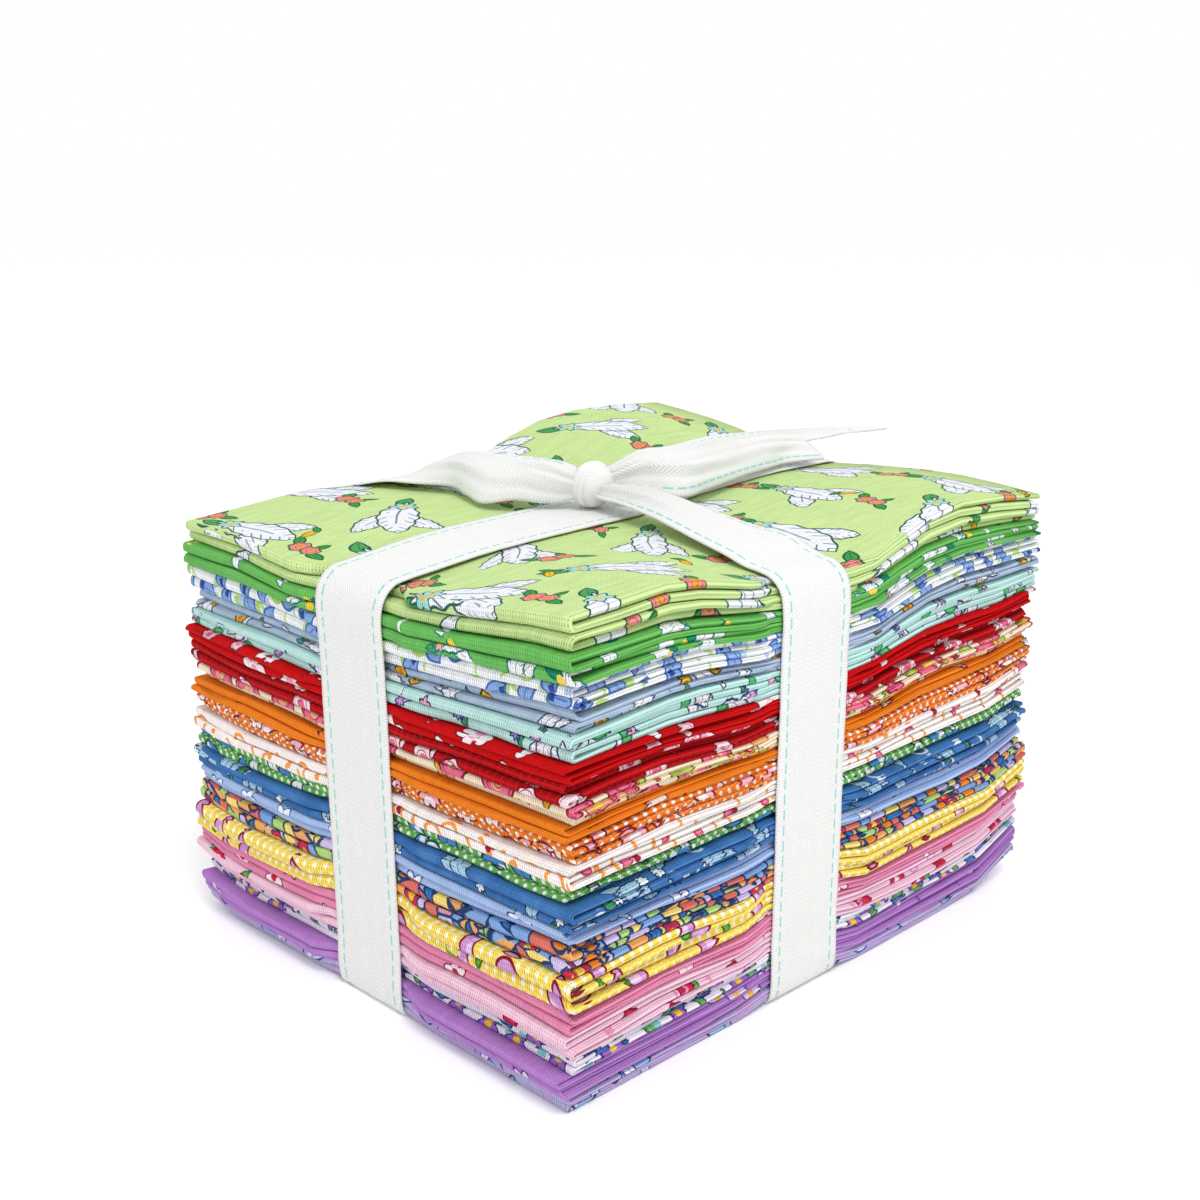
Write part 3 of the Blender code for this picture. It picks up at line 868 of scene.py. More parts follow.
class Field:
    """A smooth surface through a coarse table of heights."""

    STEP, REACH = 2.0, 8.0

    def __init__(
        self, xs: Sequence[float], ys: Sequence[float], rows: Sequence[Sequence[float]], blur: float
    ) -> None:
        """Spreads the table over a fine grid and smooths it.

        Args:
            xs: places of the table's columns.
            ys: places of its rows.
            rows: heights, row by row.
            blur: how far it is smoothed, in mm.
        """
        self.x0, self.y0 = xs[0] - self.REACH, ys[0] - self.REACH
        gx = np.arange(self.x0, xs[-1] + self.REACH + 0.1, self.STEP)
        gy = np.arange(self.y0, ys[-1] + self.REACH + 0.1, self.STEP)
        table = np.array([np.interp(gx, xs, row) for row in rows])
        grid = np.array([np.interp(gy, ys, column) for column in table.T]).T
        count = int(math.ceil(3 * blur / self.STEP))
        kernel = np.exp(-0.5 * (np.arange(-count, count + 1) * self.STEP / blur) ** 2)
        kernel /= kernel.sum()
        for axis in (0, 1):
            pad = [(count, count) if k == axis else (0, 0) for k in (0, 1)]
            wide = np.pad(grid, pad, mode="reflect", reflect_type="odd")
            grid = np.apply_along_axis(lambda line: np.convolve(line, kernel, "valid"), axis, wide)
        self.grid = grid

    def at(self, x: Array, y: Array) -> Array:
        """Reads heights off the grid.

        Args:
            x: places along X.
            y: places along Y.

        Returns:
            Heights, in mm.
        """
        fx = np.clip((x - self.x0) / self.STEP, 0, self.grid.shape[1] - 1.001)
        fy = np.clip((y - self.y0) / self.STEP, 0, self.grid.shape[0] - 1.001)
        ix, iy = fx.astype(int), fy.astype(int)
        tx, ty = fx - ix, fy - iy
        g = self.grid
        low = g[iy, ix] * (1 - tx) + g[iy, ix + 1] * tx
        high = g[iy + 1, ix] * (1 - tx) + g[iy + 1, ix + 1] * tx
        return low * (1 - ty) + high * ty


class Ripple:
    """Smooth seeded unevenness between about -1 and 1 over the cloth."""

    WAVES, SCALE = 5, 2.6

    def __init__(self, seed: int, longest: float = 75.0, shortest: float = 26.0) -> None:
        """Draws the waves.

        Args:
            seed: which unevenness.
            longest: longest wave in mm.
            shortest: shortest wave in mm.
        """
        draw = np.random.default_rng(seed)
        waves = TURN / draw.uniform(shortest, longest, self.WAVES)
        turns = draw.uniform(0, TURN, self.WAVES)
        self.kx, self.ky = waves * np.cos(turns), waves * np.sin(turns)
        self.phase = draw.uniform(0, TURN, self.WAVES)

    def at(self, x: Array, y: Array) -> Array:
        """Values at the places."""
        waves = zip(self.kx, self.ky, self.phase)
        return sum(np.sin(kx * x + ky * y + phase) for kx, ky, phase in waves) / self.SCALE


@dataclass(frozen=True)
class Packet:
    """Place of one fabric: its underside at three corners, and how far it stands out on each side."""

    name: str
    front: float
    left: float
    right: float
    out_left: float
    out_front: float
    out_right: float
    out_back: float


PACKETS = (
    Packet("01_light_green", 81.8, 82.6, 83.0, 0.2, 0.6, 0.8, 0.4),
    Packet("02_mid_green", 76.5, 77.7, 80.0, 0.8, 1.2, 2.2, -0.4),
    Packet("03_blue_bell", 71.6, 71.4, 75.6, 1.9, 0.2, 1.6, 0.9),
    Packet("04_grey_blue", 68.4, 68.0, 71.6, 0.6, -0.6, 0.4, 0.2),
    Packet("05_aqua", 63.2, 64.4, 66.8, 1.4, 1.0, 1.2, 1.2),
    Packet("06_red", 59.4, 60.0, 63.2, 2.0, 1.4, 1.0, 0.3),
    Packet("07_red_grid", 55.3, 55.4, 59.6, 1.5, 0.5, 0.2, -0.5),
    Packet("08_cream_rose", 52.1, 51.8, 56.2, 0.7, -0.4, 0.6, 1.0),
    Packet("09_orange", 48.9, 48.2, 52.8, 1.7, 0.7, -0.2, 0.6),
    Packet("10_orange_dot", 45.6, 44.6, 49.2, 1.3, 0.0, 0.5, 1.5),
    Packet("11_white_orange", 41.2, 40.4, 43.6, 2.1, 0.9, 0.3, 0.2),
    Packet("12_green_dot", 38.0, 36.4, 39.4, 2.2, -0.9, -1.0, 0.8),
    Packet("13_denim_blue", 33.6, 32.2, 34.4, 1.2, 1.1, 1.1, -0.2),
    Packet("14_periwinkle", 30.2, 28.4, 29.8, 1.6, 0.1, -0.3, 0.7),
    Packet("15_patchwork", 25.8, 23.8, 25.2, 0.9, 0.6, 0.7, 1.1),
    Packet("16_yellow_dot", 19.2, 17.4, 19.6, 1.5, 1.5, 1.3, 0.4),
    Packet("17_pink", 15.2, 13.8, 15.2, 1.8, 0.4, 0.1, 0.9),
    Packet("18_pale_pink", 10.0, 10.2, 11.2, 2.0, 1.2, 0.9, -0.3),
    Packet("19_violet_white", 6.8, 6.8, 7.6, 1.0, -0.2, -0.4, 0.5),
    Packet("20_purple", 3.5, 3.5, 3.6, 0.3, 1.6, 0.6, 1.6),
    Packet("21_lavender", 0.0, 0.0, 0.0, 0.6, 0.8, 0.4, 0.1),
)


def near_tape(at: Array, centre: Union[Array, float], flat: float = 9.5, fade: float = 9.0) -> Array:
    """1 under a tape centred there, falling smoothly to 0 beyond its edges."""
    t = np.clip((np.abs(at - centre) - flat) / fade, 0.0, 1.0)
    return 1.0 - t * t * (3 - 2 * t)


def long_centre(z: Union[Array, float], side: int) -> Union[Array, float]:
    """X of the long band's middle at a height on the -Y or +Y side."""
    return BASE_LONG - (2.6 * z / 82.0 if side < 0 else 6.0 * z / 90.0)


def cross_centre(z: Union[Array, float], side: int) -> Union[Array, float]:
    """Y of the cross band's middle at a height on the -X or +X side."""
    return BASE_CROSS + (0.5 * z / 80.0 if side > 0 else -13.4 * (np.maximum(z, 0.0) / 88.0) ** 1.6)


class StackShape:
    """The deformed block: surfaces between the fabrics, and where their edges stand.

    TOP holds heights of the top surface at TOP_X and TOP_Y, and CORNER_TOPS those of its left, front and
    right corners. CORNER is the radius at which the tape bends over an edge. The lifts and curls raise the
    underside.
    """

    TOP_X = (-57.15, -32.0, -11.0, 10.0, 32.0, 46.0, 57.15)
    TOP_Y = (-69.85, -45.0, -18.0, 5.0, 26.0, 46.0, 69.85)
    TOP = (
        (86.8, 86.0, 83.0, 83.2, 85.4, 86.8, 88.2),
        (89.5, 89.0, 86.6, 86.0, 88.2, 89.2, 89.8),
        (90.6, 89.4, 87.8, 87.3, 86.8, 85.4, 83.8),
        (90.2, 90.2, 88.2, 87.8, 87.6, 86.8, 81.6),
        (99.0, 97.0, 90.5, 89.2, 90.7, 90.6, 90.6),
        (101.0, 99.2, 92.0, 90.5, 92.3, 92.2, 92.4),
        (99.8, 96.2, 91.0, 90.8, 91.6, 90.8, 88.9),
    )
    BLUR = 5.0
    CORNER = 6.0
    CORNER_TOPS = (86.8, 88.2, 88.9)
    GROUND, LONG_LIFT, CROSS_LIFT = 0.12, 0.75, 1.05
    RIGHT_CURL, LEFT_CURL = 5.5, 2.2
    RIPPLE, CALM, SWELL_POWER = 0.42, 0.75, 2.6

    def __init__(self) -> None:
        """Prepares the top surface and the unevenness of each surface under it."""
        self.top_field = Field(self.TOP_X, self.TOP_Y, self.TOP, self.BLUR)
        self.ripples = [Ripple(40 + level) for level in range(len(PACKETS) + 1)]

    def top(self, x: Array, y: Array) -> Array:
        """Height of the top surface."""
        return self.top_field.at(np.asarray(x, float), np.asarray(y, float))

    def lift(self, x: Array, y: Array) -> Array:
        """Height of the underside over the floor, which the tapes and the curled corners raise.

        Args:
            x: places along X.
            y: places along Y.

        Returns:
            Heights, in mm.
        """
        tapes = self.LONG_LIFT * near_tape(x, BASE_LONG) + self.CROSS_LIFT * near_tape(y, CROSS_CENTRE - 0.2)
        right = np.clip((y - 48.0) / 22.0, 0, 1) ** 2 * np.clip((x - 20.0) / 37.0, 0, 1)
        left = np.clip((-x - 47.0) / 10.0, 0, 1) ** 2 * np.clip((-y - 30.0) / 40.0, 0, 1)
        return self.GROUND + tapes + self.RIGHT_CURL * right + self.LEFT_CURL * left

    @staticmethod
    def _plane(corners: Sequence[float], u: Array, v: Array) -> Array:
        """Value at a place of the plan, from those at three corners.

        Args:
            corners: values at the left, front and right corners.
            u: share of the width.
            v: share of the depth.

        Returns:
            The values.
        """
        left, front, right = corners
        near, back = left + (front - left) * u, (left + right) / 2
        return near + (back + (right - back) * u - near) * v

    def boundary(self, level: int, x: Array, y: Array) -> Array:
        """Height of the surface that has `level` fabrics under it.

        Args:
            level: number of fabrics below.
            x: places along X.
            y: places along Y.

        Returns:
            Heights, in mm.
        """
        count = len(PACKETS)
        if level == 0:
            return self.lift(x, y)
        u, v = x / WIDTH + 0.5, y / DEPTH + 0.5
        part: Union[Array, float] = 1.0
        ripple: Union[Array, float] = 0.0
        if level < count:
            above = PACKETS[count - 1 - level]
            shares = [z / top for z, top in zip((above.left, above.front, above.right), self.CORNER_TOPS)]
            part = self._plane(shares, np.clip(u, 0, 1), np.clip(v, 0, 1))
            tapes = np.maximum(near_tape(x, LONG_CENTRE), near_tape(y, CROSS_CENTRE))
            ripple = self.RIPPLE * self.ripples[level].at(x, y) * (1.0 - self.CALM * tapes)
        plane = self._plane(self.CORNER_TOPS, u, v)
        swell = self.top(x, y) - plane
        return part * plane + part**self.SWELL_POWER * swell + (1.0 - part) * self.lift(x, y) + ripple

    def inset(self, depth: Array) -> Array:
        """How far the tape, bending over an edge, draws in a fold that lies `depth` below the top surface."""
        rise = np.clip(1.0 - np.maximum(depth, 0.35) / self.CORNER, 0.0, 1.0)
        return self.CORNER * (1.0 - np.sqrt(1.0 - rise * rise))

    def stand(self, amount: Array, at: Array, centre: Array, depth: Array) -> Array:
        """How far an edge stands out: its own amount, held in where the tape crosses it."""
        held = near_tape(at, centre, flat=10.6, fade=7.4)
        return amount * (1.0 - held) + (np.minimum(amount, 0.15) - self.inset(depth)) * held


# ---------------------------------------------------------------- meshes


def mesh_object(name: str, points: Array, uvs: Array, material: bpy.types.Material) -> bpy.types.Object:
    """A smooth grid as an object at the origin.

    Args:
        name: the object's name.
        points: rows x columns x 3, in mm.
        uvs: rows x columns x 2, cloth coordinates in mm.
        material: its finish.

    Returns:
        The object, linked to the scene.
    """
    rows, columns = points.shape[:2]
    index = np.arange(rows * columns).reshape(rows, columns)
    quads = np.stack([index[:-1, :-1], index[1:, :-1], index[1:, 1:], index[:-1, 1:]], -1).reshape(-1, 4)
    mesh = bpy.data.meshes.new(name)
    mesh.from_pydata((points.reshape(-1, 3) * MM).tolist(), [], quads.tolist())
    layer = mesh.uv_layers.new(name="cloth")
    layer.data.foreach_set("uv", (uvs.reshape(-1, 2)[quads.reshape(-1)] * MM).astype(np.float32).ravel())
    mesh.polygons.foreach_set("use_smooth", np.ones(len(quads), bool))
    mesh.materials.append(material)
    mesh.update()
    piece = bpy.data.objects.new(name, mesh)
    bpy.context.scene.collection.objects.link(piece)
    return piece


def unit(vectors: Array) -> Array:
    """The vectors, each at length one."""
    return vectors / np.linalg.norm(vectors, axis=1)[:, None]


def turned_out(vectors: Array, away: Array) -> Array:
    """The vectors, each turned round where it points against its `away`."""
    return vectors * np.sign(np.sum(vectors * away, 1))[:, None]


def thicken(piece: bpy.types.Object, thickness: float) -> None:
    """Gives a sheet its thickness, both ways from its surface.

    Args:
        piece: the sheet.
        thickness: in mm.
    """
    shell = piece.modifiers.new("thickness", "SOLIDIFY")
    shell.thickness = thickness * MM
    shell.offset = 0.0


class FatQuarter:
    """One fabric, folded to four layers across and then four panels along.

    The runs are places where the cloth is sampled, from the middle out across it and from end to end along
    it. LAYER_HEIGHTS and MARGINS give each layer's height and its distance from either side, in pitches.
    """

    CREASE, FOLD = 6, 8
    THICK, GAP = 0.15, 0.05
    HALF_RUN = (0.0, 5.0, 10.5, 13.0, 16.0, 20.0, 28.0, 38.0, 48.0, WIDTH / 2)
    HALF_INNER_RUN = (0.0, 10.5, 14.0, 18.5, 36.0, WIDTH / 2)
    ALONG_RUN = (
        -DEPTH / 2, -60.0, -48.0, -40.0, -34.0, -30.0, -26.0, -22.0, -18.5, -15.0, -11.0, -7.0, -3.0,
        1.0, 4.0, 7.0, 11.0, 18.0, 28.0, 40.0, 55.0, DEPTH / 2,
    )
    BULGE = 1.58
    LAYER_HEIGHTS = (-0.5, 0.5, 1.5, -1.5)
    MARGINS = ((2.2, 3.6), (0.6, 3.6), (0.6, 1.7), (1.6, 1.7))
    OUTER_LAYER = 2
    FLATTEN = 0.9

    def __init__(self, shape: StackShape, index: int) -> None:
        """Draws the fabric's own unevenness.

        Args:
            shape: the stack that it lies in.
            index: its row in the table of packets.
        """
        self.shape, self.packet = shape, PACKETS[index]
        self.level = len(PACKETS) - 1 - index
        draw = np.random.default_rng(900 + index)
        self.edge_jitter = np.clip(draw.normal(0, 0.6, (4, PANELS)), -1.1, 1.1)
        self.edge_ripples = [
            [Ripple(1000 + 20 * index + 4 * side + k, 60, 22) for k in range(PANELS)] for side in range(4)
        ]
        self.split_ripples = [Ripple(3000 + 10 * index + k) for k in range(PANELS)]
        self.print_shift = draw.uniform(0, 60, 2)
        self.openness = draw.uniform(0.1, 0.45, 2)

    def _across(self) -> Array:
        """Follows the line across the folded width.

        Returns:
            Columns s, h, left margin, right margin, reach and u.
        """
        rows = []
        for layer, (height, (left, right)) in enumerate(zip(self.LAYER_HEIGHTS, self.MARGINS)):
            forward, outer = layer % 2 == 0, layer >= self.OUTER_LAYER
            half = np.array(self.HALF_RUN if outer else self.HALF_INNER_RUN) / WIDTH
            line = np.concatenate([0.5 - half[:0:-1], 0.5 + half])
            for s in line if forward else line[::-1]:
                swell = 1.0 + (self.BULGE / 1.5 - 1.0) * max(0.0, (s - 0.9) / 0.1) * outer
                u = (layer + (s if forward else 1 - s)) * WIDTH
                rows.append((s, height * swell, left, right, 0.0, u))
            if layer == LAYERS - 1:
                break
            u = (layer + 1) * WIDTH
            for turn in np.linspace(0, math.pi, self.CREASE + 2)[1:-1]:
                cos, sin = math.cos(turn), math.sin(turn)
                if layer < self.OUTER_LAYER:
                    end = 1.0 if forward else 0.0
                    rows.append((end, layer - 0.5 * cos, left, right, (end - 0.5) * sin, u))
                else:
                    offset = (turn / math.pi - 0.5) * 1.3
                    rows.append((1.0, self.BULGE * cos, left, right, 1.6 * sin**0.8, u + offset))
        return np.array(rows)

    def _along(self) -> list[tuple[int, int, float, float, float]]:
        """Follows the line along the zigzag, from the top panel's end.

        Returns:
            Panel, next panel, place or turn, side and v of each step.
        """
        rows: list[tuple[int, int, float, float, float]] = []
        line = 0.5 - np.array(self.ALONG_RUN[::-1]) / DEPTH
        for panel in range(PANELS):
            forward = panel % 2 == 0
            for place in line if forward else line[::-1]:
                v = (panel + (place if forward else 1 - place)) * DEPTH
                rows.append((panel, panel, place, 0.0, v))
            if panel < PANELS - 1:
                side = -1.0 if forward else 1.0
                for turn in np.linspace(math.pi / 2, -math.pi / 2, self.FOLD + 2)[1:-1]:
                    v = (panel + 1) * DEPTH - turn * self.FLATTEN
                    rows.append((panel, panel + 1, turn, side, v))
        return rows

    def _stand(
        self, side: int, panel: int, amount: float, at: Array, centre: Array, depth: Array
    ) -> Array:
        """Stand-out of one panel's edge on a side: 0 -X, 1 -Y, 2 +X, 3 +Y."""
        own = amount + self.edge_jitter[side, panel] + 0.32 * self.edge_ripples[side][panel].at(at, at * 0.3)
        return self.shape.stand(own, at, centre, depth)

    def _panels(self, x: Array, y: Array) -> tuple[list[Array], list[Array], list[Array]]:
        """Finds where the panels lie over one line of places.

        Args:
            x: places along X.
            y: places along Y.

        Returns:
            Middle heights, layer pitches and depths below the top, a panel each.
        """
        shape = self.shape
        low = shape.boundary(self.level, x, y) + self.GAP
        high = shape.boundary(self.level + 1, x, y) - self.GAP
        edges: list[Union[Array, float]] = [1 - k / PANELS for k in range(PANELS + 1)]
        for k in range(1, PANELS):
            edges[k] = edges[k] + 0.03 * self.split_ripples[k].at(x, y)
        heights = [low + (high - low) * edge for edge in edges]
        centres, pitches = [], []
        for k, (over, under) in enumerate(zip(heights, heights[1:])):
            pitch = (over - under) / LAYERS
            loose = self.openness[k // 2] * np.exp(-(y + DEPTH / 2) / 7.0) * (1 - near_tape(x, LONG_CENTRE))
            centres.append((over + under) / 2 + (1 if k % 2 == 0 else -1) * 1.5 * pitch * loose)
            pitches.append(pitch * (1 - loose))
        top_here = shape.top(x, y)
        return centres, pitches, [top_here - centre for centre in centres]

    def _reach(
        self, panels: tuple[int, int], share: float, y: Array, centres: list[Array], depth: list[Array]
    ) -> list[Array]:
        """Finds how far from the middle the cloth reaches.

        Args:
            panels: the panel and the next one.
            share: how much of the next one counts.
            y: places along Y.
            centres: middle heights.
            depth: depths below the top.

        Returns:
            The reach towards -X and towards +X.
        """
        ends = []
        for side, amount in ((0, self.packet.out_left), (2, self.packet.out_right)):
            first, second = (
                self._stand(side, k, amount, y, cross_centre(centres[k], side - 1), depth[k]) for k in panels
            )
            ends.append(WIDTH / 2 + first * (1 - share) + second * share)
        return ends

    def points(self) -> tuple[Array, Array]:
        """Folds the sheet.

        Returns:
            Positions, and cloth coordinates.
        """
        s, h, left, right, reach, u = self._across().T
        x0 = (s - 0.5) * WIDTH
        columns, v_line = [], []
        for a, b, place, side, v in self._along():
            straight = side == 0.0
            y0 = np.full_like(x0, (0.5 - place) * DEPTH if straight else side * (DEPTH / 2 - 1.0))
            centres, pitches, depth = self._panels(x0, y0)
            pitch = (pitches[a] + pitches[b]) / 2
            share = 0.0 if straight else (1 - math.sin(place)) / 2
            ends = self._reach((a, b), share, y0, centres, depth)
            x_low, x_high = -ends[0] + left * pitch, ends[1] - right * pitch
            x = x_low + s * (x_high - x_low) + reach * pitch
            if straight:
                front, back = (self._run_end(k, a, x0, centres, pitches, depth) for k in (-1, 1))
                y = back + (front - back) * place
                z = centres[a] + (1 if a % 2 == 0 else -1) * h * pitches[a]
            else:
                radius = (centres[a] - centres[b]) / 2 + (h if side < 0 else -h) * pitch
                radius = np.maximum(radius, 0.15 * pitch)
                end = self._run_end(int(side), a, x0, centres, pitches, depth)
                y = end + side * self.FLATTEN * radius * math.cos(place) ** 0.75
                rise = math.copysign(abs(math.sin(place)) ** 0.85, place)
                z = (centres[a] + centres[b]) / 2 + radius * rise
            columns.append(np.stack([x, y, z], -1))
            v_line.append(v)
        uv = np.stack(np.broadcast_arrays(u[:, None], np.array(v_line)[None, :]), -1)
        return np.stack(columns, 1), uv + self.print_shift

    def _run_end(
        self, side: int, panel: int, x: Array, centres: list[Array], pitches: list[Array], depth: list[Array]
    ) -> Array:
        """Finds where a panel's straight run ends and its fold or raw edge begins.

        Args:
            side: -1 or 1, the end along Y.
            panel: the panel.
            x: places along X.
            centres: middle heights.
            pitches: layer pitches.
            depth: depths below the top.

        Returns:
            Places along Y.
        """
        amount = self.packet.out_front if side < 0 else self.packet.out_back
        if side > 0 and panel in (0, PANELS - 1):
            raw = self._stand(3, panel, amount - 0.5, x, long_centre(centres[panel], 1), depth[panel])
            return DEPTH / 2 + raw
        a = panel // 2 * 2 if side < 0 else 1
        b = a + 1
        middle = (depth[a] + depth[b]) / 2 - 0.8
        out = self._stand(1 if side < 0 else 3, a, amount, x, long_centre(centres[a], side), middle)
        radius = (centres[a] - centres[b]) / 2 + 1.5 * (pitches[a] + pitches[b]) / 2
        return side * (DEPTH / 2 + out - self.FLATTEN * radius)

    def build(self) -> bpy.types.Object:
        """Makes the fabric's object.

        Returns:
            The object.
        """
        material = PrintMaterial(self.packet.name, PRINTS[self.packet.name]).build()
        points, uv = self.points()
        piece = mesh_object("cotton_" + self.packet.name, points, uv, material)
        thicken(piece, self.THICK)
        return piece

    def dress(self, piece: bpy.types.Object) -> None:
        """Args:
            piece: its object.
        """
        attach(piece, "root")
        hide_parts("fabric_" + self.packet.name)


Frames = tuple[Array, Array, Array]


@dataclass(frozen=True)
class Row:
    """One line across a strip of tape: its two edges, its bow between them and the depth of its pleats."""

    near: tuple[float, float, float]
    far: tuple[float, float, float]
    bow: float = 0.0
    pleat: float = 0.0


class Strip:
    """A tape swept along rows, with the line across it free to bow and pleat.

    CLEAR is its least gap to the floor, and INSET the dashes' distance from the selvedge.
    """

    ACROSS, STEP = 24, 1.6
    THICK, CLEAR = 0.36, 0.12
    INSET, DASH_PITCH = 2.1, 3.1
    DASH_LOOK = 0.9
    WOBBLE = 0.10

    def __init__(
        self, name: str, rows: Sequence[Row], outward: Callable[[Array], Array], closed: bool = False
    ) -> None:
        """Sweeps the tape along its rows.

        Args:
            name: the object's name.
            rows: lines across it.
            outward: directions that its face looks in, at its middle.
            closed: True where the last row is the first.
        """
        self.name, self.closed = name, closed
        table = np.array([(*row.near, *row.far, row.bow, row.pleat) for row in rows])
        table = self._dense(table)
        table[:, (2, 5)] = np.maximum(table[:, (2, 5)], self.THICK / 2 + self.CLEAR)
        self.near, self.far, self.bow, self.pleat = table[:, :3], table[:, 3:6], table[:, 6], table[:, 7]
        centre = (self.near + self.far) / 2
        if closed:
            tangent = np.roll(centre, -1, 0) - np.roll(centre, 1, 0)
            tangent[0] = tangent[-1] = centre[1] - centre[-2]
        else:
            tangent = np.gradient(centre, axis=0)
        normal = unit(np.cross(tangent, self.far - self.near))
        sign = np.sign(np.sum(normal * outward(centre), axis=1).sum())
        self.normal = normal * sign
        steps = np.linalg.norm(np.diff(centre, axis=0), axis=1)
        self.along = np.concatenate([[0.0], np.cumsum(steps)])
        self.ripple = Ripple(len(rows) * 7 + len(name), 30, 6)

    def _dense(self, table: Array) -> Array:
        """Refines the rows by a smooth curve through them.

        Args:
            table: edges, bow and pleat, row by row.

        Returns:
            The same columns, with rows a step apart.
        """
        rows = [table[0]]
        if self.closed:
            ring = np.concatenate([table[-2:-1], table, table[1:2]])
        else:
            ring = np.concatenate([[2 * table[0] - table[1]], table, [2 * table[-1] - table[-2]]])
        for before, a, b, after in zip(ring, ring[1:], ring[2:], ring[3:]):
            lead, length, trail = (
                np.linalg.norm((end - start)[:6]) / math.sqrt(2)
                for start, end in ((before, a), (a, b), (b, after))
            )
            m0 = ((b - a) / length + (a - before) / max(lead, 1e-6)) / 2 * length
            m1 = ((b - a) / length + (after - b) / max(trail, 1e-6)) / 2 * length
            for t in np.linspace(0, 1, max(2, int(math.ceil(length / self.STEP)) + 1))[1:]:
                t2, t3 = t * t, t * t * t
                ends = (2 * t3 - 3 * t2 + 1) * a + (t3 - 2 * t2 + t) * m0 + (3 * t2 - 2 * t3) * b
                rows.append(ends + (t3 - t2) * m1)
        return np.array(rows)

    @staticmethod
    def _between(values: Array, row: Array) -> Array:
        """Reads the rows' values at row positions, which may fall between rows.

        Args:
            values: one value or vector a row.
            row: row positions.

        Returns:
            The values there.
        """
        low = np.clip(np.floor(row).astype(int), 0, len(values) - 2)
        part = (row - low)[..., None] if values.ndim == 2 else row - low
        return values[low] * (1 - part) + values[low + 1] * part

    def surface(self, t: Array, row: Array) -> Array:
        """Finds points of the tape.

        Args:
            t: shares of its width.
            row: row positions, which may fall between rows.

        Returns:
            Their places, in mm.
        """
        near, far, normal, along, bow, pleat = (
            self._between(values, row)
            for values in (self.near, self.far, self.normal, self.along, self.bow, self.pleat)
        )
        wobble = self.WOBBLE * self.ripple.at(along, t * 9.0) * (np.abs(2 * t - 1) ** 6)
        folds = np.sin(TURN * (2.6 * t + 0.15)) + 0.55 * np.sin(TURN * (4.7 * t + 0.02 * along))
        rise = bow * 4 * t * (1 - t) + pleat * folds * (0.35 + 0.65 * np.sin(math.pi * t))
        spot = near + (far - near) * t[..., None] + normal * rise[..., None]
        return spot + (far - near) / (2 * TAPE_HALF) * wobble[..., None]

    def build(self, material: bpy.types.Material, notch: float = 0.0) -> bpy.types.Object:
        """Makes the tape's object.

        Args:
            material: its finish.
            notch: depth of the V that its last edge is cut to.

        Returns:
            The object.
        """
        rows = np.arange(len(self.near), dtype=float)
        t, row = np.meshgrid(np.linspace(0, 1, self.ACROSS + 1), rows)
        last = self.along[-1]
        end = last - notch * (1 - np.abs(2 * t[0] - 1))
        if notch:
            reach = self.along[row.astype(int)] / last * end
            row = np.interp(reach, self.along, rows)
        points = self.surface(t, row)
        uv = np.stack([(t - 0.5) * 2 * TAPE_HALF, np.interp(row, rows, self.along)], -1)
        piece = mesh_object(self.name, points, uv, material)
        thicken(piece, self.THICK)
        return piece

    def dash_frames(self, start: float, stop: float, turned_in: float = 0.0) -> Frames:
        """Sets out the dashes beside both selvedges.

        Args:
            start: where they begin along the tape.
            stop: where they end.
            turned_in: length before the end where the near selvedge is turned in.

        Returns:
            Places, directions and normals.
        """
        every = np.arange(start, stop, self.DASH_PITCH)
        rows = np.arange(len(self.near), dtype=float)
        inset = self.INSET / (2 * TAPE_HALF)
        found = []
        for t, spots in ((inset, every[every < stop - turned_in]), (1 - inset, every)):
            share = np.full_like(spots, t)
            place, ahead, behind = (
                self.surface(share, np.interp(spots + step, self.along, rows))
                for step in (0.0, self.DASH_LOOK, -self.DASH_LOOK)
            )
            here = np.interp(spots, self.along, rows)
            beside = self.surface(share + 0.03, here) - place
            tangent = ahead - behind
            normal = unit(turned_out(np.cross(tangent, beside), self.normal[here.astype(int)]))
            found.append((place + normal * (self.THICK / 2 + 0.01), unit(tangent), normal))
        places, tangents, normals = (np.concatenate(parts) for parts in zip(*found))
        return places, tangents, normals


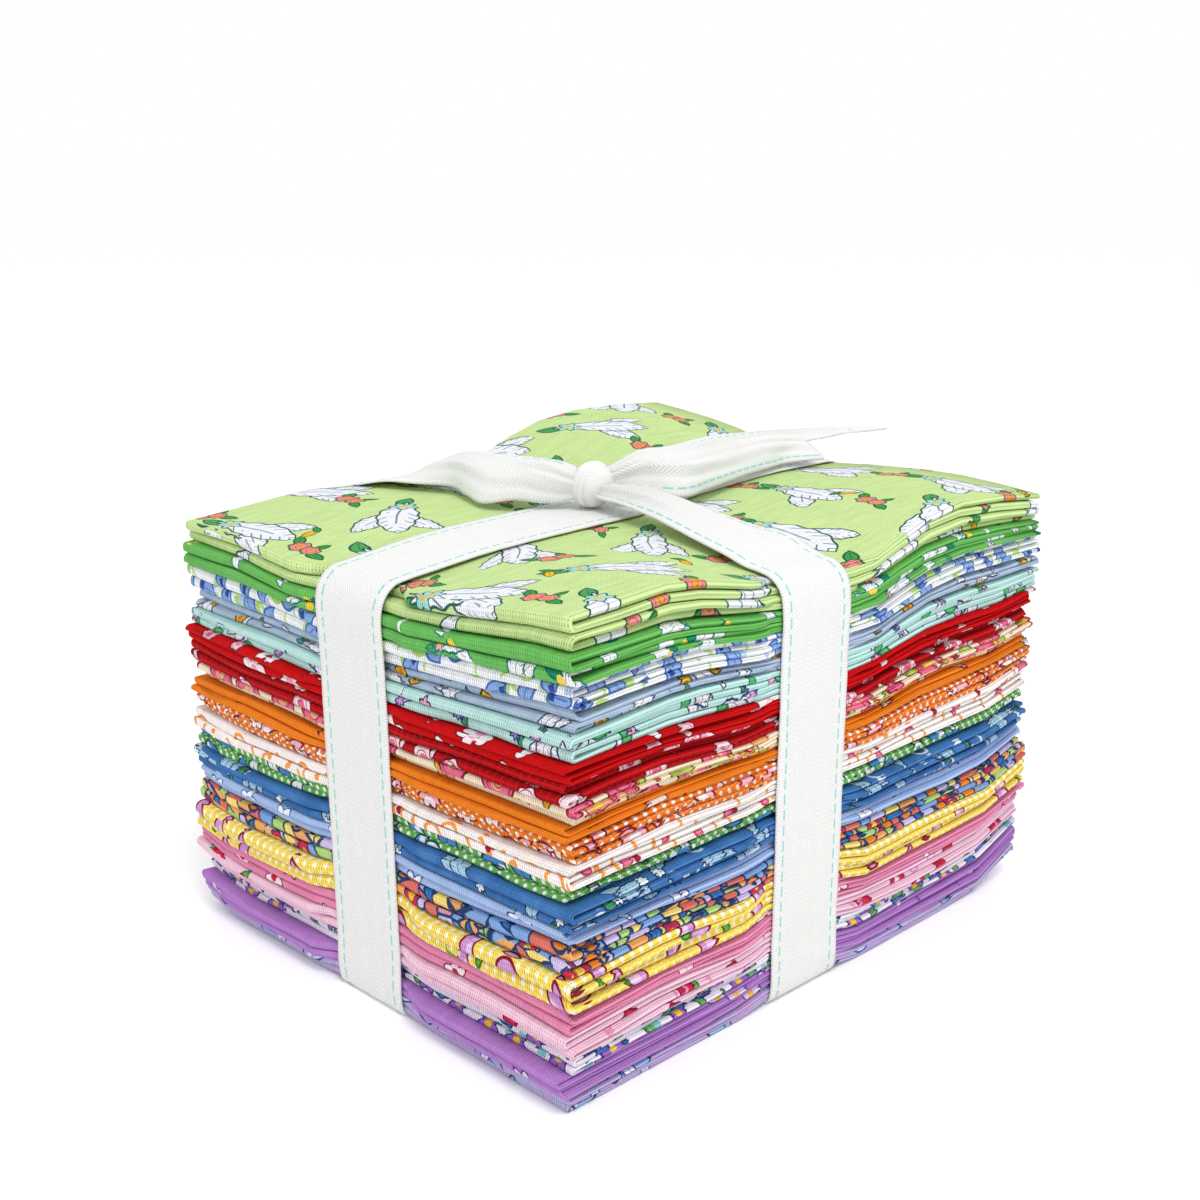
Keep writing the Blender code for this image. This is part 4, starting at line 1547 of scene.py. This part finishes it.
class YarnRun:
    """Short straight yarns set at points by Geometry Nodes, for the tape's dashed lines."""

    SIZES = ("Length", "Width", "Thickness")

    def __init__(self) -> None:
        """Builds the tree."""
        self.group = bpy.data.node_groups.new("short_yarns", "GeometryNodeTree")
        self._sockets()
        self._nodes()

    def _sockets(self) -> None:
        """Names the tree's inputs and output."""
        face = self.group.interface
        face.new_socket("Geometry", in_out="INPUT", socket_type="NodeSocketGeometry")
        for name in self.SIZES:
            face.new_socket(name, in_out="INPUT", socket_type="NodeSocketFloat")
        face.new_socket("Finish", in_out="INPUT", socket_type="NodeSocketMaterial")
        face.new_socket("Geometry", in_out="OUTPUT", socket_type="NodeSocketGeometry")

    def _add(self, kind: str, **settings: object) -> bpy.types.Node:
        """Adds a node to the tree.

        Args:
            kind: the node's bl_idname.
            **settings: attributes to set on it.

        Returns:
            The new node.
        """
        made = self.group.nodes.new(kind)
        for key, value in settings.items():
            setattr(made, key, value)
        return made

    def _nodes(self) -> None:
        """Sets a box along each point's own axes, and makes the boxes real."""
        given, result = self._add("NodeGroupInput"), self._add("NodeGroupOutput")
        points = self._add("GeometryNodeMeshToPoints")
        size = self._add("ShaderNodeCombineXYZ")
        box = self._add("GeometryNodeMeshCube")
        axes = self._add("FunctionNodeAxesToRotation", primary_axis="X", secondary_axis="Z")
        placed = self._add("GeometryNodeInstanceOnPoints")
        real = self._add("GeometryNodeRealizeInstances")
        finish = self._add("GeometryNodeSetMaterial")
        links = [(given.outputs[name], size.inputs[k]) for k, name in enumerate(self.SIZES)]
        for k, name in enumerate(("along", "up")):
            read = self._add("GeometryNodeInputNamedAttribute", data_type="FLOAT_VECTOR")
            read.inputs["Name"].default_value = name
            links.append((read.outputs["Attribute"], axes.inputs[k]))
        links += [
            (given.outputs["Geometry"], points.inputs["Mesh"]),
            (size.outputs[0], box.inputs["Size"]),
            (points.outputs[0], placed.inputs["Points"]),
            (box.outputs["Mesh"], placed.inputs["Instance"]),
            (axes.outputs[0], placed.inputs["Rotation"]),
            (placed.outputs[0], real.inputs[0]),
            (real.outputs[0], finish.inputs["Geometry"]),
            (given.outputs["Finish"], finish.inputs["Material"]),
            (finish.outputs[0], result.inputs[0]),
        ]
        for source, target in links:
            self.group.links.new(source, target)

    def build(
        self, name: str, frames: Frames, size: tuple[float, float, float], finish: bpy.types.Material
    ) -> bpy.types.Object:
        """Makes one object of yarns.

        Args:
            name: the object's name.
            frames: places, directions and normals, in mm.
            size: a yarn's length, width and thickness in mm.
            finish: its material.

        Returns:
            The object, its yarns real geometry.
        """
        places, along, up = frames
        mesh = bpy.data.meshes.new(name + "_points")
        mesh.from_pydata((places * MM).tolist(), [], [])
        for key, values in (("along", along), ("up", up)):
            attribute = mesh.attributes.new(key, "FLOAT_VECTOR", "POINT")
            attribute.data.foreach_set("vector", values.astype(np.float32).ravel())
        piece = bpy.data.objects.new(name, mesh)
        bpy.context.scene.collection.objects.link(piece)
        nodes = piece.modifiers.new("yarns", "NODES")
        nodes.node_group = self.group
        wanted = {key: side * MM for key, side in zip(self.SIZES, size)}
        wanted["Finish"] = finish
        for item in self.group.interface.items_tree:
            if item.in_out == "INPUT" and item.name in wanted:
                nodes[item.identifier] = wanted[item.name]
        graph = bpy.context.evaluated_depsgraph_get()
        solid = bpy.data.meshes.new_from_object(piece.evaluated_get(graph))
        piece.modifiers.clear()
        piece.data = solid
        solid.name = name
        bpy.data.meshes.remove(mesh)
        return piece


class Knot:
    """The knot: a wrap of tape drawn round the two arms, in two lobes."""

    CENTRE = np.array((-1.6, -7.2, 93.4))
    HALF = np.array((4.1, 4.5, 5.0))
    RINGS, SIDES = 60, 72
    POLE = 1.5705
    CLOTH = (4.2, 4.6)
    DASH_TURNS, DASH_LEAN = (-2.4, 1.9, 0.62), -0.78

    def point(self, turn: Array, lean: Array) -> Array:
        """Finds points of the lump.

        Args:
            turn: turn about X, in radians.
            lean: lean along X, in radians.

        Returns:
            Their places, in mm.
        """
        x = np.sin(lean)
        ring = np.cos(lean) ** 0.62
        up, side = np.cos(turn), np.sin(turn)
        swell = 1.0 + 0.035 * np.sin(3 * turn + 1.0) + 0.015 * np.sin(5 * turn + 4 * x)
        groove = x - 0.42 - 0.16 * np.sin(turn + 0.6)
        crease = x + 0.12 + 0.10 * np.sin(2 * turn)
        swell = swell - 0.16 * np.exp(-((groove / 0.10) ** 2)) - 0.06 * np.exp(-((crease / 0.09) ** 2))
        swell = swell - 0.10 * np.clip((x - 0.42) / 0.4, 0, 1)
        tilt = 0.22 * up
        offset = np.stack([x + tilt * 0.35, side * ring * swell, up * ring * swell], -1)
        return self.CENTRE + self.HALF * offset

    def build(self, material: bpy.types.Material) -> bpy.types.Object:
        """Makes the knot's object.

        Args:
            material: its finish.

        Returns:
            The object.
        """
        turns = np.linspace(0, TURN, self.SIDES + 1)
        turn, lean = np.meshgrid(turns, np.linspace(-self.POLE, self.POLE, self.RINGS), indexing="ij")
        uv = np.stack([lean * self.CLOTH[0], turn * self.CLOTH[1]], -1)
        return mesh_object("ribbon_knot_wrap", self.point(turn, lean)[:, ::-1], uv[:, ::-1], material)

    def dash_frames(self) -> Frames:
        """Sets out the dashes along the wrap's selvedge.

        Returns:
            Places, directions and normals.
        """
        turn = np.arange(*self.DASH_TURNS)
        lean = np.full_like(turn, self.DASH_LEAN)
        place = self.point(turn, lean)
        along = self.point(turn + 0.1, lean) - self.point(turn - 0.1, lean)
        beside = self.point(turn, lean + 0.1) - place
        normal = unit(turned_out(np.cross(along, beside), place - self.CENTRE))
        return place + normal * 0.03, unit(along), normal


class Tie:
    """The tape: the long band, the cross band with its two gathered arms, the knot and the free end.

    OUT is how far the bands stand off the sides. Each climb holds the height of the underside's last row and
    then those of the rows up a side, and each crest the height where the cross band starts to bend over.
    """

    OUT = 0.55
    FACE_X, FACE_Y = WIDTH / 2 + OUT, DEPTH / 2 + OUT
    SKIN = 0.42
    NOTCH = 12.5
    UNDER_LONG, UNDER_CROSS = 0.30, 0.80
    CLIMB_LONG = (0.75, 2.6, 12.0, 26.0, 42.0, 58.0, 70.0)
    CLIMB_CROSS = (1.15, 3.2, 12.0, 26.0, 42.0, 58.0, 68.0)
    CREST_LEFT, CREST_RIGHT = 90.0, 80.0
    CORNER_TURNS = (0.0, 0.4, 0.8, 1.2)
    DASH, KNOT_DASH = (2.05, 0.38, 0.05), (1.7, 0.42, 0.06)
    ARM_RIGHT = (
        Row((0.0, -8.8, 91.6), (0.0, -5.8, 94.0), 0.6, 0.30),
        Row((3.6, -9.6, 91.1), (3.6, -5.0, 93.6), 1.4, 0.55),
        Row((8.0, -9.9, 91.0), (8.0, -4.2, 93.2), 1.6, 0.60),
        Row((14.0, -10.6, 90.5), (14.0, -2.8, 92.8), 1.8, 0.50),
        Row((20.0, -11.8, 90.1), (20.0, -1.2, 92.0), 1.6, 0.30),
        Row((28.0, -13.8, 89.3), (28.0, 0.6, 90.2), 1.0, 0.16),
        Row((36.0, -15.6, 88.3), (36.0, 2.0, 88.7), 0.5, 0.08),
        Row((44.0, -16.8, 87.0), (44.0, 2.9, 88.0), 0.2, 0.04),
    )
    ARM_LEFT = (
        Row((-45.0, -28.5, 91.5), (-45.0, -11.0, 92.4), 0.3, 0.10),
        Row((-38.0, -24.8, 91.2), (-38.0, -12.4, 96.0), 2.0, 0.25),
        Row((-31.0, -21.0, 91.0), (-31.0, -12.4, 97.5), 3.4, 0.35),
        Row((-24.0, -22.4, 90.0), (-24.0, -11.2, 97.8), 3.2, 0.30),
        Row((-18.0, -23.4, 89.4), (-18.0, -10.2, 97.9), 2.4, 0.35),
        Row((-12.0, -19.2, 90.4), (-12.0, -9.6, 98.0), 2.6, 0.45),
        Row((-8.0, -15.8, 89.9), (-8.0, -9.0, 97.8), 2.6, 0.50),
        Row((-4.8, -12.4, 90.2), (-4.8, -8.4, 96.8), 2.0, 0.40),
        Row((-2.8, -10.0, 91.2), (-2.8, -7.4, 95.4), 0.6, 0.30),
    )
    TAIL = (
        Row((-0.2, -7.8, 92.0), (-2.6, -6.4, 96.4), 0.6, 0.30),
        Row((2.2, -4.4, 92.0), (-1.8, -2.6, 96.9), 2.0, 0.90),
        Row((5.8, 1.6, 91.2), (-3.0, 6.0, 98.6), 3.2, 1.00),
        Row((11.6, 5.5, 90.8), (0.0, 13.8, 99.6), 2.8, 0.65),
        Row((10.1, 15.3, 91.2), (-0.8, 27.3, 100.2), 2.4, 0.38),
        Row((8.0, 27.2, 91.8), (-2.8, 41.1, 99.5), 2.2, 0.26),
        Row((6.4, 38.4, 92.2), (-3.3, 53.8, 98.9), 2.2, 0.24),
        Row((5.3, 47.9, 92.6), (-2.2, 64.9, 98.3), 1.2, 0.24),
        Row((6.8, 52.6, 92.9), (3.1, 70.8, 98.5), 0.5, 0.20),
        Row((9.8, 56.6, 93.2), (14.4, 74.5, 99.0), 0.1, 0.10),
    )

    def __init__(self, shape: StackShape) -> None:
        """Routes the tape round the stack.

        Args:
            shape: the stack.
        """
        self.shape = shape
        self.long = Strip("ribbon_long_band", self._long_rows(), self._away, closed=True)
        self.cross = Strip("ribbon_cross_band", self._cross_rows(), self._away)
        self.tail = Strip("ribbon_tail_end", self.TAIL, self._aside)
        self.knot = Knot()

    @staticmethod
    def _away(centre: Array) -> Array:
        """Directions out of the bundle from its middle."""
        return centre - np.array((0.0, 0.0, 45.0))

    @staticmethod
    def _aside(centre: Array) -> Array:
        """The side that the free end turns its face to."""
        return np.broadcast_to((1.0, 0.0, 0.6), centre.shape)

    def _top(self, x: float, y: float) -> float:
        """Height of a tape that lies on the top surface."""
        return float(self.shape.top(np.array([x]), np.array([y]))[0]) + self.SKIN

    def _row(
        self, cross: bool, place: float, centre: float, level: Optional[float] = None,
        over: Optional[float] = None, drop: float = 0.0,
    ) -> Row:
        """One flat line across a band.

        Args:
            cross: True on the cross band, which runs along X, False on the long one, which runs along Y.
            place: where the line is along the band's run.
            centre: the middle of the tape there, across the run.
            level: height of both edges, or None to follow the top surface.
            over: place along the run whose top surface the edges follow, if not their own.
            drop: how far below that surface they lie.

        Returns:
            The row.
        """
        edges = []
        for side in (centre - TAPE_HALF, centre + TAPE_HALF):
            spot = place if over is None else over
            height = level
            if height is None:
                height = (self._top(spot, side) if cross else self._top(side, spot)) - drop
            edges.append((place, side, height) if cross else (side, place, height))
        return Row(*edges)

    def _climb(self, cross: bool, side: int) -> list[Row]:
        """Rows from the underside's edge up one side and round its top corner.

        Args:
            cross: True on the cross band.
            side: -1 or 1, the end of the run.

        Returns:
            The rows, from the bottom up.
        """
        corner = StackShape.CORNER
        centre_at = cross_centre if cross else long_centre
        edge = side * (self.FACE_X if cross else self.FACE_Y)
        inner = edge - side * corner
        crest = (self.CREST_RIGHT if side > 0 else self.CREST_LEFT) if cross else self._top(0.0, inner)
        lowest, *heights = self.CLIMB_CROSS if cross else self.CLIMB_LONG
        rows = [self._row(cross, edge - side * self.OUT, centre_at(0, side), lowest)]
        rows += [self._row(cross, edge, centre_at(height, side), height) for height in heights]
        for turn in self.CORNER_TURNS:
            place, drop = edge - side * corner * (1 - math.cos(turn)), corner * (1 - math.sin(turn))
            rows.append(self._row(cross, place, centre_at(crest, side), over=inner, drop=drop))
        return rows

    def _long_rows(self) -> list[Row]:
        """Rows of the long band, round from the base's middle by -Y, the top and +Y.

        Returns:
            The rows, the last one the same as the first.
        """
        inner = self.FACE_Y - StackShape.CORNER
        rows = [self._row(False, y, BASE_LONG, self.UNDER_LONG) for y in (0.0, -25.0, -50.0, -68.0)]
        rows += self._climb(False, -1)
        for y in np.linspace(-inner, inner, 22):
            rows.append(self._row(False, y, -1.1 - 3.4 * min(max((y + 6.0) / 24.0, 0.0), 1.0)))
        rows += self._climb(False, 1)[::-1]
        rows += [self._row(False, y, BASE_LONG, self.UNDER_LONG) for y in (68.0, 50.0, 25.0)]
        return [*rows, rows[0]]

    def _cross_rows(self) -> list[Row]:
        """Rows of the cross band, from the knot's right by +X, the base and -X to the knot's left.

        Returns:
            The rows, the gathered arms at their ends.
        """
        inner = self.FACE_X - StackShape.CORNER
        arm = [self._row(True, x, cross_centre(self.CREST_RIGHT, 1)) for x in (48.5, inner)]
        under = [
            self._row(True, x, BASE_CROSS, self.UNDER_CROSS) for x in (55.0, 30.0, 12.0, -12.0, -30.0, -55.0)
        ]
        left = self._row(True, -inner, cross_centre(self.CREST_LEFT, -1))
        right_side, left_side = self._climb(True, 1)[::-1], self._climb(True, -1)
        return [*self.ARM_RIGHT, *arm, *right_side, *under, *left_side, left, *self.ARM_LEFT]

    def build(self) -> None:
        twill = TapeMaterial("tape_twill").build()
        thread = plain_material("tape_dashes", "8cc9c0", 0.7)
        yarns = YarnRun()
        long_band, cross_band = self.long.build(twill), self.cross.build(twill)
        tail = self.tail.build(twill, self.NOTCH)
        knot = self.knot.build(TapeMaterial("tape_knot", grain=0.35).build())
        runs = (("long", self.long, 1.0, 1.0, 0.0), ("cross", self.cross, 9.0, 5.0, 42.0),
                ("tail", self.tail, 10.0, 5.0, 0.0))
        dashes = {}
        for name, strip, start, spare, turned_in in runs:
            frames = strip.dash_frames(start, strip.along[-1] - spare, turned_in)
            dashes[name] = yarns.build(f"ribbon_{name}_dashes", frames, self.DASH, thread)
        dashes["knot"] = yarns.build("ribbon_knot_dashes", self.knot.dash_frames(), self.KNOT_DASH, thread)
        for name, band in (("long", long_band), ("cross", cross_band), ("knot", knot), ("tail", tail)):
            for piece in (band, dashes[name]):
                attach(piece, "root")
            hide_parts("ribbon_" + name)


# ---------------------------------------------------------------- studio


@dataclass(frozen=True)
class Studio:
    """Floor, light and camera."""

    camera_at: tuple[float, float, float] = (0.22817, -0.23065, 0.14941)
    yaw: float = 45.523
    pitch: float = 14.14
    lens: float = 46.54
    sky: float = 1.0
    key: float = 6.6
    key_size: float = 0.5
    key_at: tuple[float, float, float] = (0.60, -0.28, 1.12)
    key_aim: tuple[float, float, float] = (0.0, 0.0, 0.05)
    floor_side: float = 12.0

    def build(self) -> None:
        """Sets the studio up."""
        self._floor()
        self._light()
        data = bpy.data.cameras.new("camera")
        data.lens, data.sensor_width = self.lens, CAMERA_SENSOR
        data.clip_start, data.clip_end = 0.01, 50.0
        camera = bpy.data.objects.new("camera", data)
        camera.location = self.camera_at
        camera.rotation_euler = (math.radians(90 - self.pitch), 0.0, math.radians(self.yaw))
        bpy.context.scene.collection.objects.link(camera)
        bpy.context.scene.camera = camera
        bpy.context.scene.view_settings.view_transform = "Standard"

    def _floor(self) -> None:
        """Lays the floor."""
        mesh = bpy.data.meshes.new("floor")
        side = self.floor_side
        corners = [(-side, -side, 0), (side, -side, 0), (side, side, 0), (-side, side, 0)]
        mesh.from_pydata(corners, [], [(0, 1, 2, 3)])
        mesh.materials.append(plain_material("floor", "ffffff", 0.9))
        floor = bpy.data.objects.new("floor", mesh)
        bpy.context.scene.collection.objects.link(floor)

    def _light(self) -> None:
        """Lights the room and hangs the key light."""
        world = bpy.data.worlds.new("studio")
        bpy.context.scene.world = world
        world.use_nodes = True
        sky = world.node_tree.nodes["Background"]
        sky.inputs["Color"].default_value = (1.0, 1.0, 1.0, 1.0)
        sky.inputs["Strength"].default_value = self.sky
        data = bpy.data.lights.new("key", "AREA")
        data.energy, data.size = self.key, self.key_size
        key = bpy.data.objects.new("key", data)
        key.location = self.key_at
        aim = Vector(self.key_aim) - key.location
        key.rotation_euler = aim.to_track_quat("-Z", "Y").to_euler()
        bpy.context.scene.collection.objects.link(key)


def main() -> None:
    """Builds every piece on the part's frame."""
    logging.basicConfig(level=logging.INFO, format="%(name)s: %(message)s")
    shape = StackShape()
    for index in reversed(range(len(PACKETS))):
        fabric = FatQuarter(shape, index)
        piece = fabric.build()
        fabric.dress(piece)
    LOG.info("%d fabrics folded", len(PACKETS))
    Tie(shape).build()
    Studio().build()


if __name__ == "__main__":
    main()
